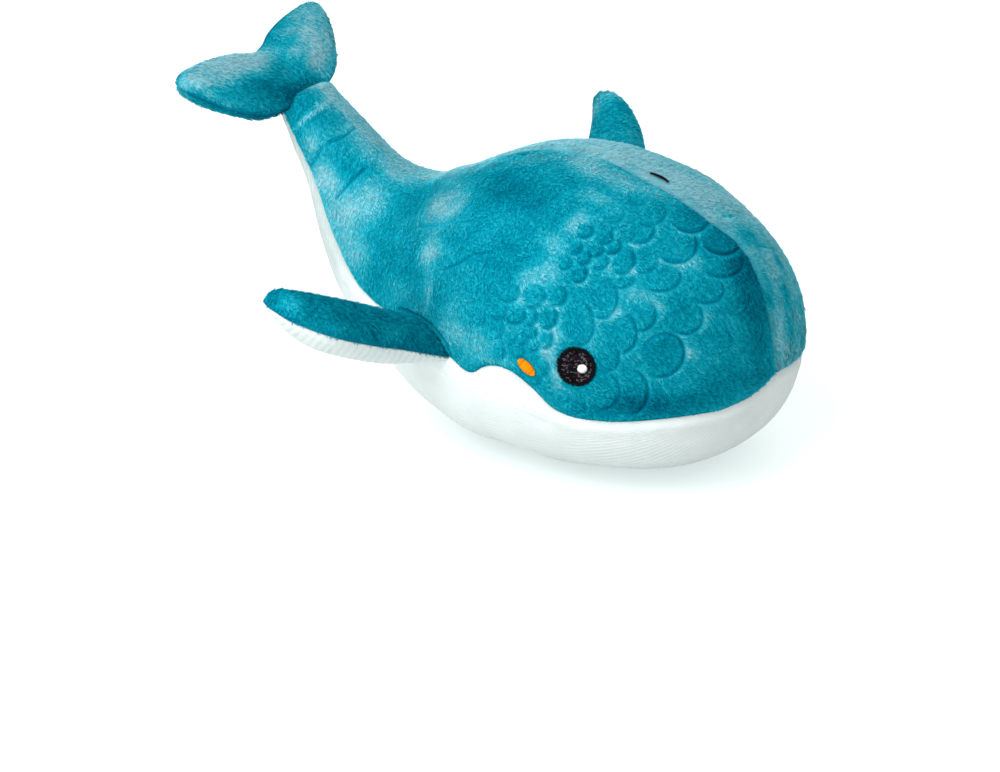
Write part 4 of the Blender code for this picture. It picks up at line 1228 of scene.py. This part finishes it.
def eye_piece(word, side, cover):
    """Rows of short stitches, and a raised rim of stitches laid outwards."""
    work = Stitches(cover, patch_frame(EYE_SHARES, side))
    radius = EYE_DIAMETER / 2
    work.pad(radius * 0.96, radius * 0.96, 0.0, 48, 0.0007, 0.25)
    inner = radius * 0.84
    y = -inner
    while y < inner:
        half = math.sqrt(max(inner ** 2 - y ** 2, 0))
        x = -half - random.uniform(0, 1) * EYE_STITCH
        while x < half:
            a, b = max(x, -half), min(x + EYE_STITCH * random.uniform(0.85, 1.15), half)
            if b - a > 0.0004:
                # Some stitches lighter: painted gloss highlights on the black thread.
                work.thread((a, y), (b, y + random.normal(0, 0.00012)), EYE_THREAD, 0.00080,
                            random.uniform(0.00005, 0.00028), random.uniform(0, 1) ** 1.7, 4)
            x = b + 0.00002
        y += EYE_PITCH
    for k in range(EYE_RIM_STITCHES):
        turn = 2 * math.pi * (k + random.uniform(-0.25, 0.25)) / EYE_RIM_STITCHES
        near = radius * (0.82 + random.uniform(-0.02, 0.02))
        far = radius * (1.03 + random.uniform(-0.03, 0.05))
        start, end = [(reach * math.cos(turn), reach * math.sin(turn)) for reach in (near, far)]
        # Some rim stitches lighter: painted gloss highlights.
        work.thread(start, end, EYE_THREAD, 0.00095, 0.00030, 0.4 * random.uniform(0, 1) ** 2, 5)
    return work.piece("eye_stitching_" + word, black)


def glint_piece(word, side, cover):
    patch = patch_frame(EYE_SHARES, side)
    work = Stitches(cover, patch)
    ahead, above = [share * EYE_DIAMETER / 2 for share in GLINT_OFFSET_SHARES]
    offset = (ahead, above * float(patch[3][2]) + GLINT_RISE)
    work.satin(GLINT_DIAMETER * 1.02, GLINT_DIAMETER * 0.98, side * math.radians(-30), offset, 0.00040,
               0.00150, (0.3, 0.8))
    return work.piece("glint_stitching_" + word, glint_white)


def cheek_piece(word, side, cover):
    work = Stitches(cover, patch_frame(CHEEK_SHARES, side))
    tilt = side * CHEEK_STITCH_TILT
    work.pad(CHEEK_LENGTH * 0.46, CHEEK_WIDTH * 0.44, tilt, 32, 0.0006, 0.35)
    work.satin(CHEEK_LENGTH, CHEEK_WIDTH, tilt, (0.0, 0.0), 0.00038, 0.0007, (0.3, 0.75))
    return work.piece("cheek_stitching_" + word, orange)


def blowhole_piece(cover):
    """Slanting stitches side by side along a low arch."""
    work = Stitches(cover, patch_frame(BLOWHOLE_SHARES, 1.0))
    for k in range(BLOWHOLE_STITCHES):
        share = (k + 0.5) / BLOWHOLE_STITCHES
        x = BLOWHOLE_LENGTH * (share - 0.5)
        y = BLOWHOLE_RISE * (1.0 - (2 * share - 1.0) ** 2)
        half = BLOWHOLE_WIDTH / 2 * (0.35 + 0.75 * math.sin(math.pi * (1 - share) ** 1.5) ** 0.7)
        work.thread((x - 0.0002, y - half), (x + 0.0002, y + half), BLOWHOLE_THREAD, 0.0010, 0.00024,
                    random.uniform(0.0, 0.3), 4)
    return work.piece("blowhole_stitching", black)


# ---- Put together ----
def rides(pieces, body):
    for piece in pieces:
        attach(piece, body)


def bends(pieces):
    for piece in pieces:
        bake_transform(piece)


def dress_leaf(part, leaf, under_material, piles):
    """Covers and pile of a fin or the fluke. piles are names and sides."""
    top = leaf_cover(part + "_top_cover", leaf, 1.0, shaded_backing)
    under = leaf_cover(part + "_bottom_cover", leaf, -1.0, under_material)
    blue = [top] if under_material is white else [top, under]
    for name, side in piles:
        blue += leaf_pile(part + name, leaf, side)
    bends(blue)
    if under_material is white:
        bends([under])
    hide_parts(part + "_top_panel", part + "_filling")
    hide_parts(part + "_bottom_panel")


back_covers = {word: back_cover(word, side) for word, side in SIDES.items()}
belly = belly_cover()
for word, side in SIDES.items():
    rides([back_covers[word]] + back_pile(word, side), "whale_body")
    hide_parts("back_panel_" + word)
rides([belly], "whale_body")
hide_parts("belly_panel", "body_filling")

for word in SIDES:
    fin = fin_leaf(word)
    dress_leaf(word + "_fin", fin, white, (("_pile", 1.0),))
fluke = fluke_leaf()
dress_leaf("fluke", fluke, shaded_backing,
           (("_top_pile", 1.0), ("_bottom_pile", -1.0)))

for word, side in SIDES.items():
    cover = back_covers[word]
    eye = eye_piece(word, side, cover)
    glint = glint_piece(word, side, cover)
    cheek = cheek_piece(word, side, cover)
    rides([eye], "whale_body")
    rides([glint], "whale_body")
    rides([cheek], "whale_body")
    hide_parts("eye_" + word)
    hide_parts("eye_glint_" + word)
    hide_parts("cheek_spot_" + word)
blowhole = blowhole_piece(back_covers["left"])
rides([blowhole], "whale_body")
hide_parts("blowhole_stitch")


# ---- Studio ----
WORLD_LIGHT = 0.74
FLOOR_RADIUS = 7.0
FLOOR_GLOW = 0.57
FLOOR_GLOW_COLOUR = (0.88, 1.0, 0.985, 1.0)
FLOOR_COLOUR = (0.62, 0.64, 0.635, 1.0)
# Lamps: name, place, height of the point they face, size, power.
LAMPS = (
    ("key", (-0.90, 0.22, 1.28), 0.05, 1.1, 14.0),
    ("low_left", (-1.30, 0.15, 0.28), 0.05, 1.2, 6.8),
    ("rim", (1.2, 0.6, 0.9), 0.06, 0.9, 4.0),
)


def ray_switch(tree, kind):
    """1 for camera rays and for one more kind of ray, 0 for all others."""
    light = node(tree, "ShaderNodeLightPath")
    seen = node(tree, "ShaderNodeMath", operation="MAXIMUM")
    tree.links.new(light.outputs["Is Camera Ray"], seen.inputs[0])
    tree.links.new(light.outputs[kind], seen.inputs[1])
    return seen.outputs[0]


def studio_floor():
    bpy.ops.mesh.primitive_circle_add(vertices=96, radius=FLOOR_RADIUS, fill_type="NGON",
                                      location=(0, 0, -FLOOR_CLEARANCE))
    floor = bpy.context.object
    floor.name = "studio_floor"
    material = bpy.data.materials.new("studio_floor")
    material.use_nodes = True
    tree = material.node_tree
    link = tree.links.new
    shader = tree.nodes["Principled BSDF"]
    shader.inputs["Base Color"].default_value = FLOOR_COLOUR
    shader.inputs["Roughness"].default_value = 0.9
    shader.inputs["Specular IOR Level"].default_value = 0.1
    amount = node(tree, "ShaderNodeMath", operation="MULTIPLY")
    amount.inputs[1].default_value = FLOOR_GLOW
    link(ray_switch(tree, "Is Glossy Ray"), amount.inputs[0])
    glow = node(tree, "ShaderNodeEmission", Color=FLOOR_GLOW_COLOUR)
    link(amount.outputs[0], glow.inputs["Strength"])
    both = node(tree, "ShaderNodeAddShader")
    link(shader.outputs[0], both.inputs[0])
    link(glow.outputs[0], both.inputs[1])
    link(both.outputs[0], tree.nodes["Material Output"].inputs["Surface"])
    floor.data.materials.append(material)


def studio_world():
    """White behind the whale, and softer light from all sides."""
    world = bpy.data.worlds.new("studio")
    bpy.context.scene.world = world
    world.use_nodes = True
    tree = world.node_tree
    background = tree.nodes["Background"]
    background.inputs["Color"].default_value = (1.0, 1.0, 1.0, 1.0)
    strength = node(tree, "ShaderNodeMapRange")
    strength.inputs["To Min"].default_value = WORLD_LIGHT
    strength.inputs["To Max"].default_value = 1.0
    tree.links.new(ray_switch(tree, "Is Transmission Ray"), strength.inputs["Value"])
    tree.links.new(strength.outputs["Result"], background.inputs["Strength"])


def area_light(name, place, height, size, power):
    """A round lamp that faces the middle at a height."""
    data = bpy.data.lights.new(name, "AREA")
    data.shape = "DISK"
    data.size = size
    data.energy = power
    lamp = bpy.data.objects.new(name, data)
    bpy.context.scene.collection.objects.link(lamp)
    lamp.location = place
    aim = Vector((0.0, 0.0, height)) - Vector(place)
    lamp.rotation_euler = aim.to_track_quat("-Z", "Y").to_euler()


def studio_camera():
    data = bpy.data.cameras.new("camera")
    data.lens = LENS_MM
    data.sensor_width = SENSOR_MM
    data.clip_start, data.clip_end = 0.05, 30.0
    camera = bpy.data.objects.new("camera", data)
    bpy.context.scene.collection.objects.link(camera)
    turn = Matrix((CAM_RIGHT, CAM_UP, CAM_BACK)).transposed().to_4x4()
    camera.matrix_world = Matrix.Translation(CAM_PLACE) @ turn
    bpy.context.scene.camera = camera


studio_floor()
studio_world()
for lamp in LAMPS:
    area_light(*lamp)
studio_camera()
bpy.context.scene.view_settings.view_transform = "Standard"
